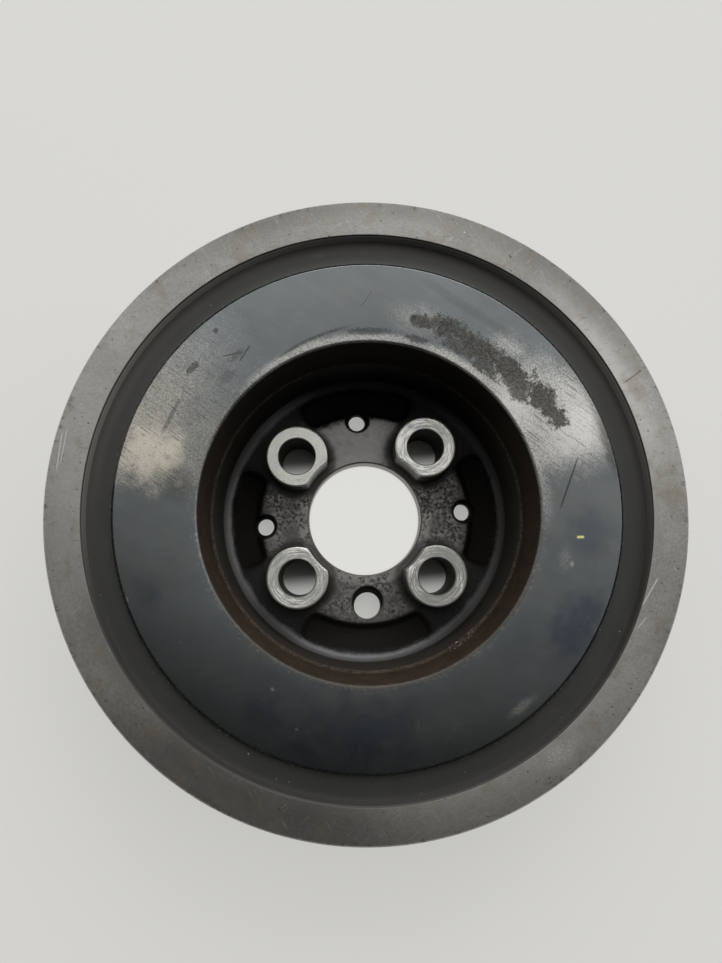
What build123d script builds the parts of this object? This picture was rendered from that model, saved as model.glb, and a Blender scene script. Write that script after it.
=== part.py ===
from build123d import *

import os
from math import radians, tan

# Crankshaft pulley with a rubber damper: an iron hub, a rubber ring and a ribbed outer ring.
# The origin is the centre of the bore on the hub's mounting face, and +Z is the bolt-head side.
# The part lies on the mounting face. All lengths are millimetres and all angles are degrees.

os.makedirs("parts", exist_ok=True)

# Hub: bolting flange
bore_r = 19.35
bore_chamfer = 0.5
flange_thickness = 8.5
seat_margin = 2.7
seat_height = 1.0

# Bolt bosses, one of them off the square so that the hub fits in one way only
boss_angles = (45.0, 135.0, 217.5, 315.0)
bolt_hole_r = 6.0
bolt_hole_chamfer = 0.4
boss_wall = 4.1
boss_relieved_wall = 2.4
boss_height = 13.5
boss_chamfer = 0.5
boss_corner_r = 0.6
boss_fillet = 1.2
bore_land = 2.45

# Pockets between the raised lands that carry the bosses
land_half_angle = 19.5
pocket_width = 8.2
pocket_depth = 2.4
pocket_corner_r = 2.0
pocket_chamfer = 1.0

# Puller holes, stepped
puller_angles = (0.0, 90.0, 180.0)
puller_from_bore = 15.25
puller_r = 2.9
puller_mouth_r = 4.25
puller_mouth_depth = 5.0

# Locating hole with a wider mouth that lies nearer to the bore
locating_angle = 267.3
locating_from_bore = 10.55
locating_r = 4.6
locating_mouth_r = 5.3
locating_mouth_shift = 1.5
locating_mouth_depth = 4.0

# Hub: cup between the flange and the front plate, with a small ledge part of the way up its wall
cup_margin = 7.9
cup_wall = 6.4
cup_draft = 1.6
floor_fillet = 3.0
ledge_height = 30.5
ledge_width = 0.8
lower_wall_flare = 0.4
upper_wall_flare = 1.2
mouth_fillet = 1.0

# Hub: front plate, the channel behind it and the outer rim that the rubber grips
channel_width = 13.6
channel_fillet = 4.0
rim_wall = 7.4
rim_back = 3.6
plate_sink = 2.7
plate_thickness = 7.8
plate_chamfer = 0.8

# Rubber ring, sunk below the plate and the rim, with hollow ends
rubber_width = 7.3
rubber_sink = 1.4
rubber_dish = 0.8

# Outer ring
ring_wall = 11.1
ring_back = 2.5
ring_outer_chamfer = 0.8
ring_inner_chamfer = 0.5

# Belt tracks: two sets of V grooves between plain lips, with a plain land between them
front_groove_count = 4
back_groove_count = 6
groove_pitch = 3.56
groove_depth = 2.8
groove_angle = 40.0
crest_width = 0.8
end_lip = 2.0
middle_land = 2.8
lip_height = 1.8
lip_slope = 1.0

# Radii, stacked outwards from the bore
boss_relief_r = bore_r + bore_land
boss_pitch_r = boss_relief_r + boss_relieved_wall + bolt_hole_r
boss_r = bolt_hole_r + boss_wall
puller_pitch_r = bore_r + puller_from_bore
locating_pitch_r = bore_r + locating_from_bore
seat_r = boss_pitch_r + boss_r + seat_margin
cup_floor_r = boss_pitch_r + boss_r + cup_margin
pocket_outer_r = cup_floor_r - floor_fillet
pocket_inner_r = pocket_outer_r - pocket_width
ledge_inner_r = cup_floor_r + lower_wall_flare
ledge_outer_r = ledge_inner_r + ledge_width
mouth_r = ledge_outer_r + upper_wall_flare
channel_inner_r = cup_floor_r + cup_wall
channel_outer_r = channel_inner_r + channel_width
plate_outer_r = channel_outer_r + rim_wall
ring_inner_r = plate_outer_r + rubber_width
ring_outer_r = ring_inner_r + ring_wall
crest_r = ring_outer_r - lip_height
root_r = crest_r - groove_depth

# Two circles or faces count as the same within this distance
match_tolerance = 0.01


def circle_edges(solid, radius, height):
    """Circular edges of this radius, about any axis along Z, at this height."""
    circles = solid.edges().filter_by(GeomType.CIRCLE)
    return circles.filter_by(
        lambda edge: abs(edge.radius - radius) < match_tolerance
        and abs(edge.arc_center.Z - height) < match_tolerance
    )


def flat_faces(solid, height):
    """Faces that lie flat at this height."""
    return solid.faces().filter_by(GeomType.PLANE).filter_by(
        lambda face: abs(face.center().Z - height) < match_tolerance
    )


def track_width(grooves):
    """Width of a set of V grooves with half a crest more on each side."""
    return grooves * groove_pitch + crest_width


def track_outline(grooves, track_front):
    """Points of a lip's slope, a set of V grooves and the next lip's slope, front to back."""
    flank = groove_depth * tan(radians(groove_angle / 2))
    mouth_half = (groove_pitch - crest_width) / 2
    root_half = mouth_half - flank
    track_back = track_front - track_width(grooves)
    points = [(ring_outer_r, track_front + lip_slope), (crest_r, track_front)]
    for index in range(grooves):
        groove_z = track_front - crest_width / 2 - (index + 0.5) * groove_pitch
        points.append((crest_r, groove_z + mouth_half))
        points.append((root_r, groove_z + root_half))
        points.append((root_r, groove_z - root_half))
        points.append((crest_r, groove_z - mouth_half))
    points.append((crest_r, track_back))
    points.append((ring_outer_r, track_back - lip_slope))
    return points


# Outer ring: one profile with both sets of grooves, turned about the axis
back_track_front = ring_back + end_lip + lip_slope + track_width(back_groove_count)
front_track_front = (
    back_track_front + 2 * lip_slope + middle_land + track_width(front_groove_count)
)
ring_front = front_track_front + lip_slope + end_lip

with BuildPart() as pulley_ring:
    with BuildSketch(Plane.XZ):
        with BuildLine():
            Polyline(
                (ring_inner_r, ring_back),
                (ring_inner_r, ring_front),
                (ring_outer_r, ring_front),
                *track_outline(front_groove_count, front_track_front),
                *track_outline(back_groove_count, back_track_front),
                (ring_outer_r, ring_back),
                close=True,
            )
        make_face()
    revolve(axis=Axis.Z)
    for height in (ring_front, ring_back):
        chamfer(circle_edges(pulley_ring, ring_outer_r, height), ring_outer_chamfer)
        chamfer(circle_edges(pulley_ring, ring_inner_r, height), ring_inner_chamfer)

# Rubber ring: fills the gap between the rim and the outer ring
plate_front = ring_front - plate_sink
rubber_front = plate_front - rubber_sink
rubber_back = rim_back + rubber_sink
rubber_middle_r = (plate_outer_r + ring_inner_r) / 2

with BuildPart() as rubber_ring:
    with BuildSketch(Plane.XZ):
        with BuildLine():
            Line((plate_outer_r, rubber_back), (plate_outer_r, rubber_front))
            ThreePointArc(
                (plate_outer_r, rubber_front),
                (rubber_middle_r, rubber_front - rubber_dish),
                (ring_inner_r, rubber_front),
            )
            Line((ring_inner_r, rubber_front), (ring_inner_r, rubber_back))
            ThreePointArc(
                (ring_inner_r, rubber_back),
                (rubber_middle_r, rubber_back + rubber_dish),
                (plate_outer_r, rubber_back),
            )
        make_face()
    revolve(axis=Axis.Z)

# Hub: the cast section first, then pockets, bosses and holes
channel_top = plate_front - plate_thickness
boss_top = flange_thickness + boss_height

with BuildPart() as hub:
    with BuildSketch(Plane.XZ):
        with BuildLine():
            Polyline(
                (bore_r, 0),
                (seat_r, 0),
                (seat_r, seat_height),
                (channel_inner_r, seat_height),
                (channel_inner_r + cup_draft, channel_top),
                (channel_outer_r - cup_draft, channel_top),
                (channel_outer_r, rim_back),
                (plate_outer_r, rim_back),
                (plate_outer_r, plate_front),
                (mouth_r, plate_front),
                (ledge_outer_r, ledge_height),
                (ledge_inner_r, ledge_height),
                (cup_floor_r, flange_thickness),
                (bore_r, flange_thickness),
                close=True,
            )
        make_face()
    revolve(axis=Axis.Z)
    fillet(circle_edges(hub, channel_inner_r + cup_draft, channel_top), channel_fillet)
    fillet(circle_edges(hub, channel_outer_r - cup_draft, channel_top), channel_fillet)
    fillet(circle_edges(hub, cup_floor_r, flange_thickness), floor_fillet)
    fillet(circle_edges(hub, mouth_r, plate_front), mouth_fillet)
    chamfer(circle_edges(hub, plate_outer_r, plate_front), plate_chamfer)
    chamfer(circle_edges(hub, plate_outer_r, rim_back), plate_chamfer)

    # Pockets run from one land to the next
    with BuildSketch(Plane.XY.offset(flange_thickness)) as pockets:
        for angle, next_angle in zip(boss_angles, boss_angles[1:] + (boss_angles[0] + 360,)):
            start = angle + land_half_angle
            sweep_angle = next_angle - land_half_angle - start
            with BuildLine():
                outer_side = CenterArc((0, 0), pocket_outer_r, start, sweep_angle)
                inner_side = CenterArc((0, 0), pocket_inner_r, start, sweep_angle)
                Line(outer_side @ 0, inner_side @ 0)
                Line(outer_side @ 1, inner_side @ 1)
            make_face()
        fillet(pockets.vertices(), pocket_corner_r)
    extrude(amount=-pocket_depth, mode=Mode.SUBTRACT)
    chamfer(flat_faces(hub, flange_thickness - pocket_depth).edges(), pocket_chamfer)

    # Bosses, relieved by one turning cut about the bore
    with BuildSketch(Plane.XY.offset(flange_thickness)) as bosses:
        for angle in boss_angles:
            with PolarLocations(boss_pitch_r, 1, start_angle=angle):
                Circle(boss_r)
        Circle(boss_relief_r, mode=Mode.SUBTRACT)
        fillet(bosses.vertices(), boss_corner_r)
    extrude(amount=boss_height)
    fillet(hub.edges(Select.LAST).group_by(Axis.Z)[0], boss_fillet)
    chamfer(flat_faces(hub, boss_top).edges(), boss_chamfer)

    # Bolt holes
    for angle in boss_angles:
        with Locations(Plane.XY.offset(boss_top)):
            with PolarLocations(boss_pitch_r, 1, start_angle=angle):
                Hole(bolt_hole_r)
    chamfer(circle_edges(hub, bolt_hole_r, boss_top), bolt_hole_chamfer)

    # Puller holes
    for angle in puller_angles:
        with Locations(Plane.XY.offset(flange_thickness)):
            with PolarLocations(puller_pitch_r, 1, start_angle=angle):
                CounterBoreHole(puller_r, puller_mouth_r, puller_mouth_depth)

    # Locating hole and its mouth
    with Locations(Plane.XY.offset(flange_thickness)):
        with PolarLocations(locating_pitch_r, 1, start_angle=locating_angle):
            Hole(locating_r)
        with PolarLocations(locating_pitch_r - locating_mouth_shift, 1, start_angle=locating_angle):
            Hole(locating_mouth_r, depth=locating_mouth_depth)

    chamfer(circle_edges(hub, bore_r, flange_thickness), bore_chamfer)
    chamfer(circle_edges(hub, bore_r, 0), bore_chamfer)

pieces = {"pulley_ring": pulley_ring, "rubber_ring": rubber_ring, "hub": hub}
for name, piece in pieces.items():
    piece.part.label = name
    export_step(piece.part, f"parts/{name}.step")
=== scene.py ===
"""A used crankshaft pulley with a rubber damper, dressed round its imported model."""

import math

import bmesh
import bpy
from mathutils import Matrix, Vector


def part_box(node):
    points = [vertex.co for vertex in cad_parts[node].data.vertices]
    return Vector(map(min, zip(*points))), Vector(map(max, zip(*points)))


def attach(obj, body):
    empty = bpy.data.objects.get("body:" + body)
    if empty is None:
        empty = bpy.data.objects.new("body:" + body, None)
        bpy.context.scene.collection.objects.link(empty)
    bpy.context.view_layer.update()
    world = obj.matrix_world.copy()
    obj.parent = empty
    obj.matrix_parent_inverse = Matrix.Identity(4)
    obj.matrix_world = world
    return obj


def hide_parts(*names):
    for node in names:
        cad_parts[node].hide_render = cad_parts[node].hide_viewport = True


bl_info = {
    "name": "Crankshaft pulley",
    "version": (1, 0, 0),
    "blender": (4, 5, 0),
    "location": "View3D > Sidebar > Pulley",
    "description": "Builds a worn crankshaft pulley, its finishes and a plain studio",
    "category": "Object",
}

MM = 0.001

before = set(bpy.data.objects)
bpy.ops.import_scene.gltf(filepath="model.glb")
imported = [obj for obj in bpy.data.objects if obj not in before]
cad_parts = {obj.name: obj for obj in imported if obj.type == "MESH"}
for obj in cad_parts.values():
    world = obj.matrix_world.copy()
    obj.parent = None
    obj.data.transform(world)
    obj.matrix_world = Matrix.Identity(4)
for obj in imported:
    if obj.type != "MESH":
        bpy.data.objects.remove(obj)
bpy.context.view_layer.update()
ring_low, ring_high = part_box("pulley_ring")
rubber_low, rubber_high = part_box("rubber_ring")
hub_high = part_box("hub")[1]

# Bolt heads have rubbed each boss: by how much all round, and on two sides along a heading
BOSS_WEAR = {
    45.0: (1.3, 0.0, 0.0),
    135.0: (0.15, 0.0, 0.0),
    217.5: (0.5, 60.0, 0.6),
    315.0: (0.2, 160.0, 0.75),
}
BOLT_ANGLES = tuple(BOSS_WEAR)
PULLER_ANGLES = (0.0, 90.0, 180.0)

SURFACE_IOR = 1.5
SENSOR_WIDTH = 36.0
CLIP_START = 10.0 * MM
SKY_EDGE = (-0.30, 0.38)


# Sizes and colours that a user may change


def length(name, description, default):
    """A length in metres."""
    return bpy.props.FloatProperty(
        name=name, description=description, default=default, min=0.0, unit="LENGTH", precision=5
    )


def angle(name, description, degrees):
    """An angle, given in degrees."""
    return bpy.props.FloatProperty(
        name=name, description=description, default=math.radians(degrees), unit="ROTATION"
    )


def colour(name, description, default):
    """A linear colour."""
    return bpy.props.FloatVectorProperty(
        name=name, description=description, default=default, size=3, min=0.0, max=1.0, subtype="COLOR"
    )


def count(name, description, default, least=1):
    """A whole number."""
    return bpy.props.IntProperty(name=name, description=description, default=default, min=least)


def amount(name, description, default, **limits):
    """A plain number, with its limits and its unit if it has one."""
    return bpy.props.FloatProperty(name=name, description=description, default=default, **limits)


def position(name, description, default):
    """A point, in metres."""
    return bpy.props.FloatVectorProperty(
        name=name, description=description, default=default, unit="LENGTH"
    )


class PulleyRingSettings(bpy.types.PropertyGroup):
    """Sizes and colours of the ribbed outer ring."""

    outer_radius: length("Outer radius", "Radius of the lips beside the belts", ring_high.x)
    inner_radius: length("Inner radius", "Radius that the rubber fills", rubber_high.x)
    back: length("Back", "Height of the ring's back face", ring_low.z)
    front: length("Front", "Height of the ring's front face", ring_high.z)
    lip_height: length("Lip height", "From the lips down to the crests of the ribs", 1.8 * MM)
    lip_slope: length("Lip slope", "Width of the slope beside a lip", 1.0 * MM)
    end_lip: length("End lip", "Width of the lip at each end", 2.0 * MM)
    groove_pitch: length("Groove pitch", "From one belt groove to the next", 3.56 * MM)
    groove_depth: length("Groove depth", "From a crest to a root", 2.8 * MM)
    groove_angle: angle("Groove angle", "Angle between the two flanks of a groove", 40.0)
    crest_width: length("Crest width", "Width of the flat between two grooves", 0.8 * MM)
    crest_rounding: length("Crest rounding", "How far the crests' edges are worn round", 0.22 * MM)
    root_rounding: length("Root rounding", "How far the roots are filled in", 0.35 * MM)
    front_grooves: count("Front grooves", "Belt grooves near the front", 4)
    back_grooves: count("Back grooves", "Belt grooves near the back", 6)
    groove_steps: count("Groove steps", "Points across one groove", 19, 5)
    segments: count("Segments", "Steps round the ring", 240, 16)
    pale: colour("Pale iron", "Ground iron where it is clean", (0.42, 0.413, 0.392))
    dark: colour("Dark iron", "Ground iron under old oil", (0.205, 0.199, 0.185))
    stain: colour("Stain", "Thin brown stains", (0.187, 0.148, 0.0936))


class RubberSettings(bpy.types.PropertyGroup):
    """Sizes and colours of the rubber ring."""

    inner_radius: length("Inner radius", "Radius of the hub's rim", hub_high.x)
    outer_radius: length("Outer radius", "Radius that meets the outer ring", rubber_high.x)
    back: length("Back", "Height of the rubber's back edge", rubber_low.z)
    front: length("Front", "Height of the rubber's front edge", rubber_high.z)
    dish: length("Dish", "How far the ends are hollowed", 0.2 * MM)
    segments: count("Segments", "Steps round the ring", 240, 16)
    black: colour("Rubber", "Aged rubber", (0.0245, 0.0242, 0.0218))
    # The dust colour is also painted light on the rubber's outer part towards +Y
    dust: colour("Dust", "Dry dust on the rubber", (0.0858, 0.0819, 0.0741))


class HubSettings(bpy.types.PropertyGroup):
    """Sizes and colours of the iron hub."""

    rim_radius: length("Rim radius", "Radius of the rim inside the rubber", hub_high.x)
    rim_back: length("Rim back", "Height of the rim's back edge", 3.6 * MM)
    front: length("Front", "Height of the front plate's face", hub_high.z)
    plate_thickness: length("Plate thickness", "Thickness of the front plate", 7.8 * MM)
    plate_edge: length("Plate edge", "Chamfer at the rim", 0.8 * MM)
    mouth_radius: length("Mouth radius", "Radius of the cup's mouth", 50.6 * MM)
    ledge_height: length("Ledge height", "Height of the ledge in the cup's wall", 30.5 * MM)
    ledge_outer_radius: length("Ledge outer radius", "Foot of the upper wall", 49.4 * MM)
    ledge_inner_radius: length("Ledge inner radius", "Head of the lower wall", 48.6 * MM)
    floor_radius: length("Floor radius", "Radius of the cup's floor", 48.2 * MM)
    floor_rounding: length("Floor rounding", "Rounding between wall and floor", 3.0 * MM)
    flange: length("Flange", "Thickness of the bolting flange", 8.5 * MM)
    seat_radius: length("Seat radius", "Radius of the mounting face", 43.0 * MM)
    seat_height: length("Seat height", "Step beside the mounting face", 1.0 * MM)
    bore_radius: length("Bore radius", "Radius of the centring bore", 19.35 * MM)
    channel_inner_radius: length("Channel inner radius", "Outside of the cup", 54.6 * MM)
    channel_outer_radius: length("Channel outer radius", "Inside of the rim", 68.2 * MM)
    channel_draft: length("Channel draft", "How far the channel narrows", 1.6 * MM)
    boss_pitch_radius: length("Boss pitch radius", "From the axis to a boss", 30.2 * MM)
    boss_radius: length("Boss radius", "Radius of a bolt boss", 10.1 * MM)
    boss_top: length("Boss top", "Height of the bosses' faces", 22.0 * MM)
    boss_relief_radius: length("Boss relief", "Turning cut beside the bore", 21.8 * MM)
    bolt_hole_radius: length("Bolt hole radius", "Radius of a bolt hole", 6.0 * MM)
    puller_pitch_radius: length("Puller pitch radius", "From the axis to a puller hole", 34.6 * MM)
    puller_radius: length("Puller hole radius", "Radius of a puller hole", 2.9 * MM)
    puller_mouth_radius: length("Puller mouth radius", "Radius of its mouth", 4.25 * MM)
    puller_mouth_depth: length("Puller mouth depth", "Depth of its mouth", 5.0 * MM)
    locating_pitch_radius: length("Locating pitch radius", "From the axis to the hole", 29.9 * MM)
    locating_radius: length("Locating hole radius", "Radius of the locating hole", 4.6 * MM)
    locating_mouth_radius: length("Locating mouth radius", "Radius of its mouth", 5.3 * MM)
    locating_mouth_shift: length("Locating mouth shift", "Nearer to the bore by this", 1.5 * MM)
    locating_mouth_depth: length("Locating mouth depth", "Depth of its mouth", 4.0 * MM)
    locating_angle: angle("Locating angle", "Where the locating hole stands", 267.3)
    land_half_angle: angle("Land half angle", "Half of a land that carries a boss", 19.5)
    pocket_inner_radius: length("Pocket inner radius", "Inner side of the pockets", 37.0 * MM)
    pocket_outer_radius: length("Pocket outer radius", "Outer side of the pockets", 45.2 * MM)
    pocket_depth: length("Pocket depth", "Depth of the pockets", 2.4 * MM)
    segments: count("Segments", "Steps round the hub", 256, 16)
    coat: colour("Coat", "Dark coat on the iron", (0.146, 0.160, 0.166))
    bare: colour("Bare iron", "Iron where the coat is worn away", (0.25, 0.247, 0.235))
    rust: colour("Rust", "Brown rust on the cup's wall", (0.016, 0.0105, 0.0065))
    oil: colour("Oil", "Old oil in the cup", (0.0234, 0.0226, 0.0226))
    boss_iron: colour("Boss iron", "Machined faces of the bosses", (0.66, 0.665, 0.62))


class StageSettings(bpy.types.PropertyGroup):
    """The camera, the lamp, the floor and the light all round."""

    camera_place: position(
        "Camera place", "Where the camera stands", (-11.646 * MM, -17.499 * MM, 270.25 * MM)
    )
    camera_turn: bpy.props.FloatVectorProperty(
        name="Camera turn",
        description="The camera's turn, as XYZ angles",
        default=(math.radians(6.811), math.radians(-1.944), math.radians(-4.5)),
        subtype="EULER",
    )
    lens: amount("Lens", "Focal length on a 36 mm sensor", 28.41, min=1.0, unit="CAMERA")
    floor_size: length("Floor size", "Side of the floor", 6.0)
    floor_colour: colour("Floor colour", "Plain pale floor", (0.75, 0.745, 0.72))
    floor_glow: amount(
        "Floor glow", "Share of its colour that needs no lamp", 0.65, min=0.0, max=1.0, subtype="FACTOR"
    )
    key_power: amount("Key power", "Power of the large lamp", 10.5, min=0.0, unit="POWER")
    key_size: length("Key size", "Side of the large lamp", 1.3)
    key_place: position("Key place", "Where the large lamp stands", (0.35, 1.32, 0.85))
    sky_heading: angle("Sky heading", "The side from which the studio is bright", 75.0)
    sky_dark: colour("Sky dark side", "Studio light from the dark side", (0.030, 0.030, 0.029))
    sky_bright: colour("Sky bright side", "Studio light from the bright side", (1.0, 0.99, 0.975))
    sky_strength: amount("Sky strength", "Strength of the studio light", 1.12, min=0.0)


# Node trees written as expressions


class Field:
    """One socket of a node tree. Arithmetic on it adds Math nodes."""

    def __init__(self, graph, socket):
        self.graph = graph
        self.socket = socket

    def out(self, name):
        """Another output of the node that this one comes from."""
        return Field(self.graph, self.socket.node.outputs[name])

    def __add__(self, other):
        return self.graph.maths("ADD", self, other)

    __radd__ = __add__

    def __sub__(self, other):
        return self.graph.maths("SUBTRACT", self, other)

    def __rsub__(self, other):
        return self.graph.maths("SUBTRACT", other, self)

    def __mul__(self, other):
        return self.graph.maths("MULTIPLY", self, other)

    __rmul__ = __mul__

    def __truediv__(self, other):
        return self.graph.maths("DIVIDE", self, other)

    def __pow__(self, other):
        return self.graph.maths("POWER", self, other)

    def __abs__(self):
        return self.graph.maths("ABSOLUTE", self)


class Graph:
    """A node tree that is written with Fields."""

    def __init__(self, tree):
        self.tree = tree

    def node(self, kind, settings=None, inputs=None, output=0):
        """Adds a node: its settings first, then the values or links of its sockets.

        A list gives one socket several links.
        """
        made = self.tree.nodes.new(kind)
        for name, value in (settings or {}).items():
            setattr(made, name, value)
        for key, given in (inputs or {}).items():
            for value in given if isinstance(given, list) else [given]:
                if isinstance(value, Field):
                    self.tree.links.new(value.socket, made.inputs[key])
                else:
                    made.inputs[key].default_value = value
        return Field(self, made.outputs[output]) if made.outputs else None

    def maths(self, operation, *values):
        """A Math node."""
        return self.node("ShaderNodeMath", {"operation": operation}, dict(enumerate(values)))

    def vector(self, operation, inputs, output=0):
        """A Vector Math node."""
        return self.node("ShaderNodeVectorMath", {"operation": operation}, inputs, output)

    def combined(self, x, y, z):
        """A vector from three numbers."""
        return self.node("ShaderNodeCombineXYZ", None, {"X": x, "Y": y, "Z": z})

    def rise(self, value, low, high):
        """0 below low, 1 above high, and smooth between them."""
        return self.node(
            "ShaderNodeMapRange",
            {"interpolation_type": "SMOOTHSTEP"},
            {"Value": value, "From Min": low, "From Max": high},
        )

    def fall(self, value, low, high):
        """1 below low, 0 above high, and smooth between them."""
        return 1 - self.rise(value, low, high)

    def band(self, value, low, high, soft):
        """1 between low and high, with soft edges."""
        inside = self.rise(value, low - soft, low + soft)
        return inside * self.fall(value, high - soft, high + soft)

    def either(self, first, *others):
        """The highest of several masks."""
        for other in others:
            first = self.maths("MAXIMUM", first, other)
        return first

    def noise(self, vector, scale, detail=2.0, roughness=0.55):
        """Cloudy noise between 0 and 1."""
        values = {"Vector": vector, "Scale": scale, "Detail": detail, "Roughness": roughness}
        return self.node("ShaderNodeTexNoise", None, values)

    def specks(self, vector, scale, size):
        """Round specks, one in each cell of a pattern, that are smaller than size."""
        cells = self.node("ShaderNodeTexVoronoi", None, {"Vector": vector, "Scale": scale})
        chance = self.node("ShaderNodeSeparateColor", None, {0: cells.out("Color")})
        return self.fall(cells + chance * size, size * 0.4, size)

    def mixed(self, factor, first, second, blend="MIX"):
        """Two colours mixed."""
        settings = {"data_type": "RGBA", "blend_type": blend, "clamp_factor": True}
        values = {0: factor, 6: self.paint(first), 7: self.paint(second)}
        return self.node("ShaderNodeMix", settings, values, 2)

    def paint(self, value):
        """A colour as a socket takes it."""
        return value if isinstance(value, Field) else (*value, 1.0)

    def shaded(self, colour, shade):
        """A colour made darker where shade is below 1."""
        return self.mixed(1.0, colour, self.combined(shade, shade, shade), "MULTIPLY")


class Skin(Graph):
    """One finish, measured in millimetres from the pulley's axis and built up in layers."""

    def __init__(self, name):
        self.material = bpy.data.materials.new(name)
        self.material.use_nodes = True
        super().__init__(self.material.node_tree)
        self.tree.nodes.clear()
        coordinates = self.node("ShaderNodeTexCoord", output="Object")
        self.place = self.vector("SCALE", {"Vector": coordinates, "Scale": 1 / MM})
        split = self.node("ShaderNodeSeparateXYZ", None, {0: self.place})
        self.x, self.y, self.z = split, split.out("Y"), split.out("Z")
        self.radius = (self.x * self.x + self.y * self.y) ** 0.5
        self.across = self.x / self.radius
        self.along = self.y / self.radius
        self.turn = self.maths("ARCTAN2", self.y, self.x) * (180 / math.pi)
        self.patches = self.noise(self.place, 0.05, 3.0, 0.6)
        self.blotches = self.noise(self.place, 0.16, 4.0, 0.65)
        self.grain = self.noise(self.place, 1.3, 5.0, 0.7)
        self.fine = self.noise(self.place, 5.0, 2.0)

    def start(self, colour, metallic, roughness, height):
        """The lowest layer, which covers everything."""
        self.colour, self.metallic = colour, metallic
        self.roughness, self.height = roughness, height

    def cover(self, mask, colour, metallic=None, roughness=None):
        """Lays a colour over what is there, with a metallic and a roughness if they change."""
        self.colour = self.mixed(mask, self.colour, colour)
        if metallic is not None:
            self.metallic = self.metallic + (metallic - self.metallic) * mask
        if roughness is not None:
            self.roughness = self.roughness + (roughness - self.roughness) * mask

    def turned(self, radial, round_about):
        """Noise coordinates that are drawn out along circles about the axis."""
        return self.combined(self.across * round_about, self.along * round_about, self.radius * radial)

    def local(self, degrees):
        """How far a point lies out along a direction, and beside it."""
        unit = polar(1.0, degrees)
        return self.x * unit.x + self.y * unit.y, self.y * unit.x - self.x * unit.y

    def sector(self, degrees, half_width, soft):
        """1 within half_width degrees of a direction, with soft edges."""
        out, beside = self.local(degrees)
        turn = abs(self.maths("ARCTAN2", beside, out))
        return self.fall(turn, math.radians(half_width - soft), math.radians(half_width + soft))

    def streaks(self, degrees, fineness, stretch):
        """Noise drawn out along a direction, like fine scratches."""
        out, beside = self.local(degrees)
        flat = self.combined(out * (fineness / stretch), beside * fineness, 0.0)
        return self.noise(flat, 1.0, 3.0, 0.6)

    def spot(self, degrees, radius, out_size, side_size, wander=0.0, edge=0.35):
        """An oval patch at an angle and a radius, with an edge that wanders."""
        out, beside = self.local(degrees)
        out, beside = (out - radius) / out_size, beside / side_size
        far = (out * out + beside * beside) ** 0.5 + wander
        return self.fall(far, 1 - edge, 1 + edge)

    def scratch(self, start, end, width):
        """A straight scratch from one point to another, given by radius and angle."""
        begin = polar(*start)
        direction = polar(*end) - begin
        size = direction.length
        unit = direction / size
        x, y = self.x - begin.x, self.y - begin.y
        along = x * unit.x + y * unit.y
        beside = abs(y * unit.x - x * unit.y)
        return self.band(along, 0.0, size, size * 0.12) * self.fall(beside, width * 0.3, width)

    def spots(self, rows, wander=0.0):
        """Oval patches: each row an angle, a radius, two sizes, a soft edge and a strength."""
        return self.weighed(((self.spot(*row[:4], wander, row[4]), row[5]) for row in rows))

    def scratches(self, rows):
        """Straight scratches: each row a start, an end, a width and a strength."""
        return self.weighed(((self.scratch(*row[:3]), row[3]) for row in rows))

    def weighed(self, marks):
        """The strongest of several masks, each given with its strength."""
        return self.either(*(mask if strength == 1 else mask * strength for mask, strength in marks))

    def finish(self, bump_depth, specular=0.5):
        """Ends the tree in a Principled shader with a bump."""
        normal = self.node(
            "ShaderNodeBump",
            None,
            {"Height": self.height, "Distance": bump_depth * MM, "Strength": 1.0},
        )
        shader = self.node(
            "ShaderNodeBsdfPrincipled",
            None,
            {
                "Base Color": self.colour,
                "Metallic": self.metallic,
                "Roughness": self.roughness,
                "IOR": SURFACE_IOR,
                "Specular IOR Level": specular,
                "Normal": normal,
            },
        )
        self.node("ShaderNodeOutputMaterial", None, {"Surface": shader})
        return self.material


def polar(radius, degrees):
    """A point in the plane, in the unit of the radius."""
    turn = math.radians(degrees)
    return Vector((radius * math.cos(turn), radius * math.sin(turn)))


def pocket_sides():
    """The angles of the two bosses beside each pocket."""
    return zip(BOLT_ANGLES, BOLT_ANGLES[1:] + (BOLT_ANGLES[0] + 360,))


# Finish of the outer ring

CLEAN_IRON = (0.68, 0.67, 0.64)
DARK_STRETCH_IRON = (0.105, 0.102, 0.094)
BROWN_STROKES = (0.15, 0.098, 0.072)
FINE_SCRATCHES = (0.60, 0.59, 0.57)
PIT_DIRT = (0.043, 0.039, 0.034)
SCUFFED_IRON = (0.66, 0.65, 0.62)
CRACK_DIRT = (0.055, 0.047, 0.039)
GROOVE_DIRT = (0.043, 0.036, 0.030)
RUBBED_CRESTS = (0.48, 0.475, 0.46)
RUBBED_EDGE = (0.51, 0.505, 0.485)
WALL_GRIME = (0.031, 0.030, 0.027)
WALL_DUST_AND_LIGHT = (0.34, 0.332, 0.305)
WALL_EDGE_SHADE = (0.014, 0.0135, 0.0125)

RING_SCRATCHES = (
    ((86.0, 342.0), (83.6, 336.2), 0.28, 1.0),
    ((91.2, 168.6), (92.0, 162.0), 0.22, 1.0),
    ((90.4, 167.0), (91.0, 161.0), 0.18, 1.0),
    ((85.6, 334.0), (84.4, 331.5), 0.2, 1.0),
)
RING_CRACK = ((85.3, 22.0), (91.6, 22.6), 0.3)


def ring_finish(settings):
    """Ground iron that belts, oil and years have dulled."""
    skin = Skin("ring_iron")
    grain, fine = skin.grain, skin.fine
    circles = skin.noise(skin.turned(3.0, 9.0), 1.0, 3.0)
    tone = skin.patches * 0.30 + grain * 0.42 + fine * 0.15 + circles * 0.13
    skin.start(
        skin.mixed(skin.rise(tone, 0.28, 0.74), settings.dark, settings.pale),
        metallic=0.88,
        roughness=0.40 + grain * 0.12,
        height=grain * 0.4 + fine * 0.2 + circles * 0.2,
    )
    ring_tones(skin, settings)
    ring_marks(skin, settings)
    ring_sides(skin, settings)
    ring_bore(skin, settings)
    return skin.finish(0.04)


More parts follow.
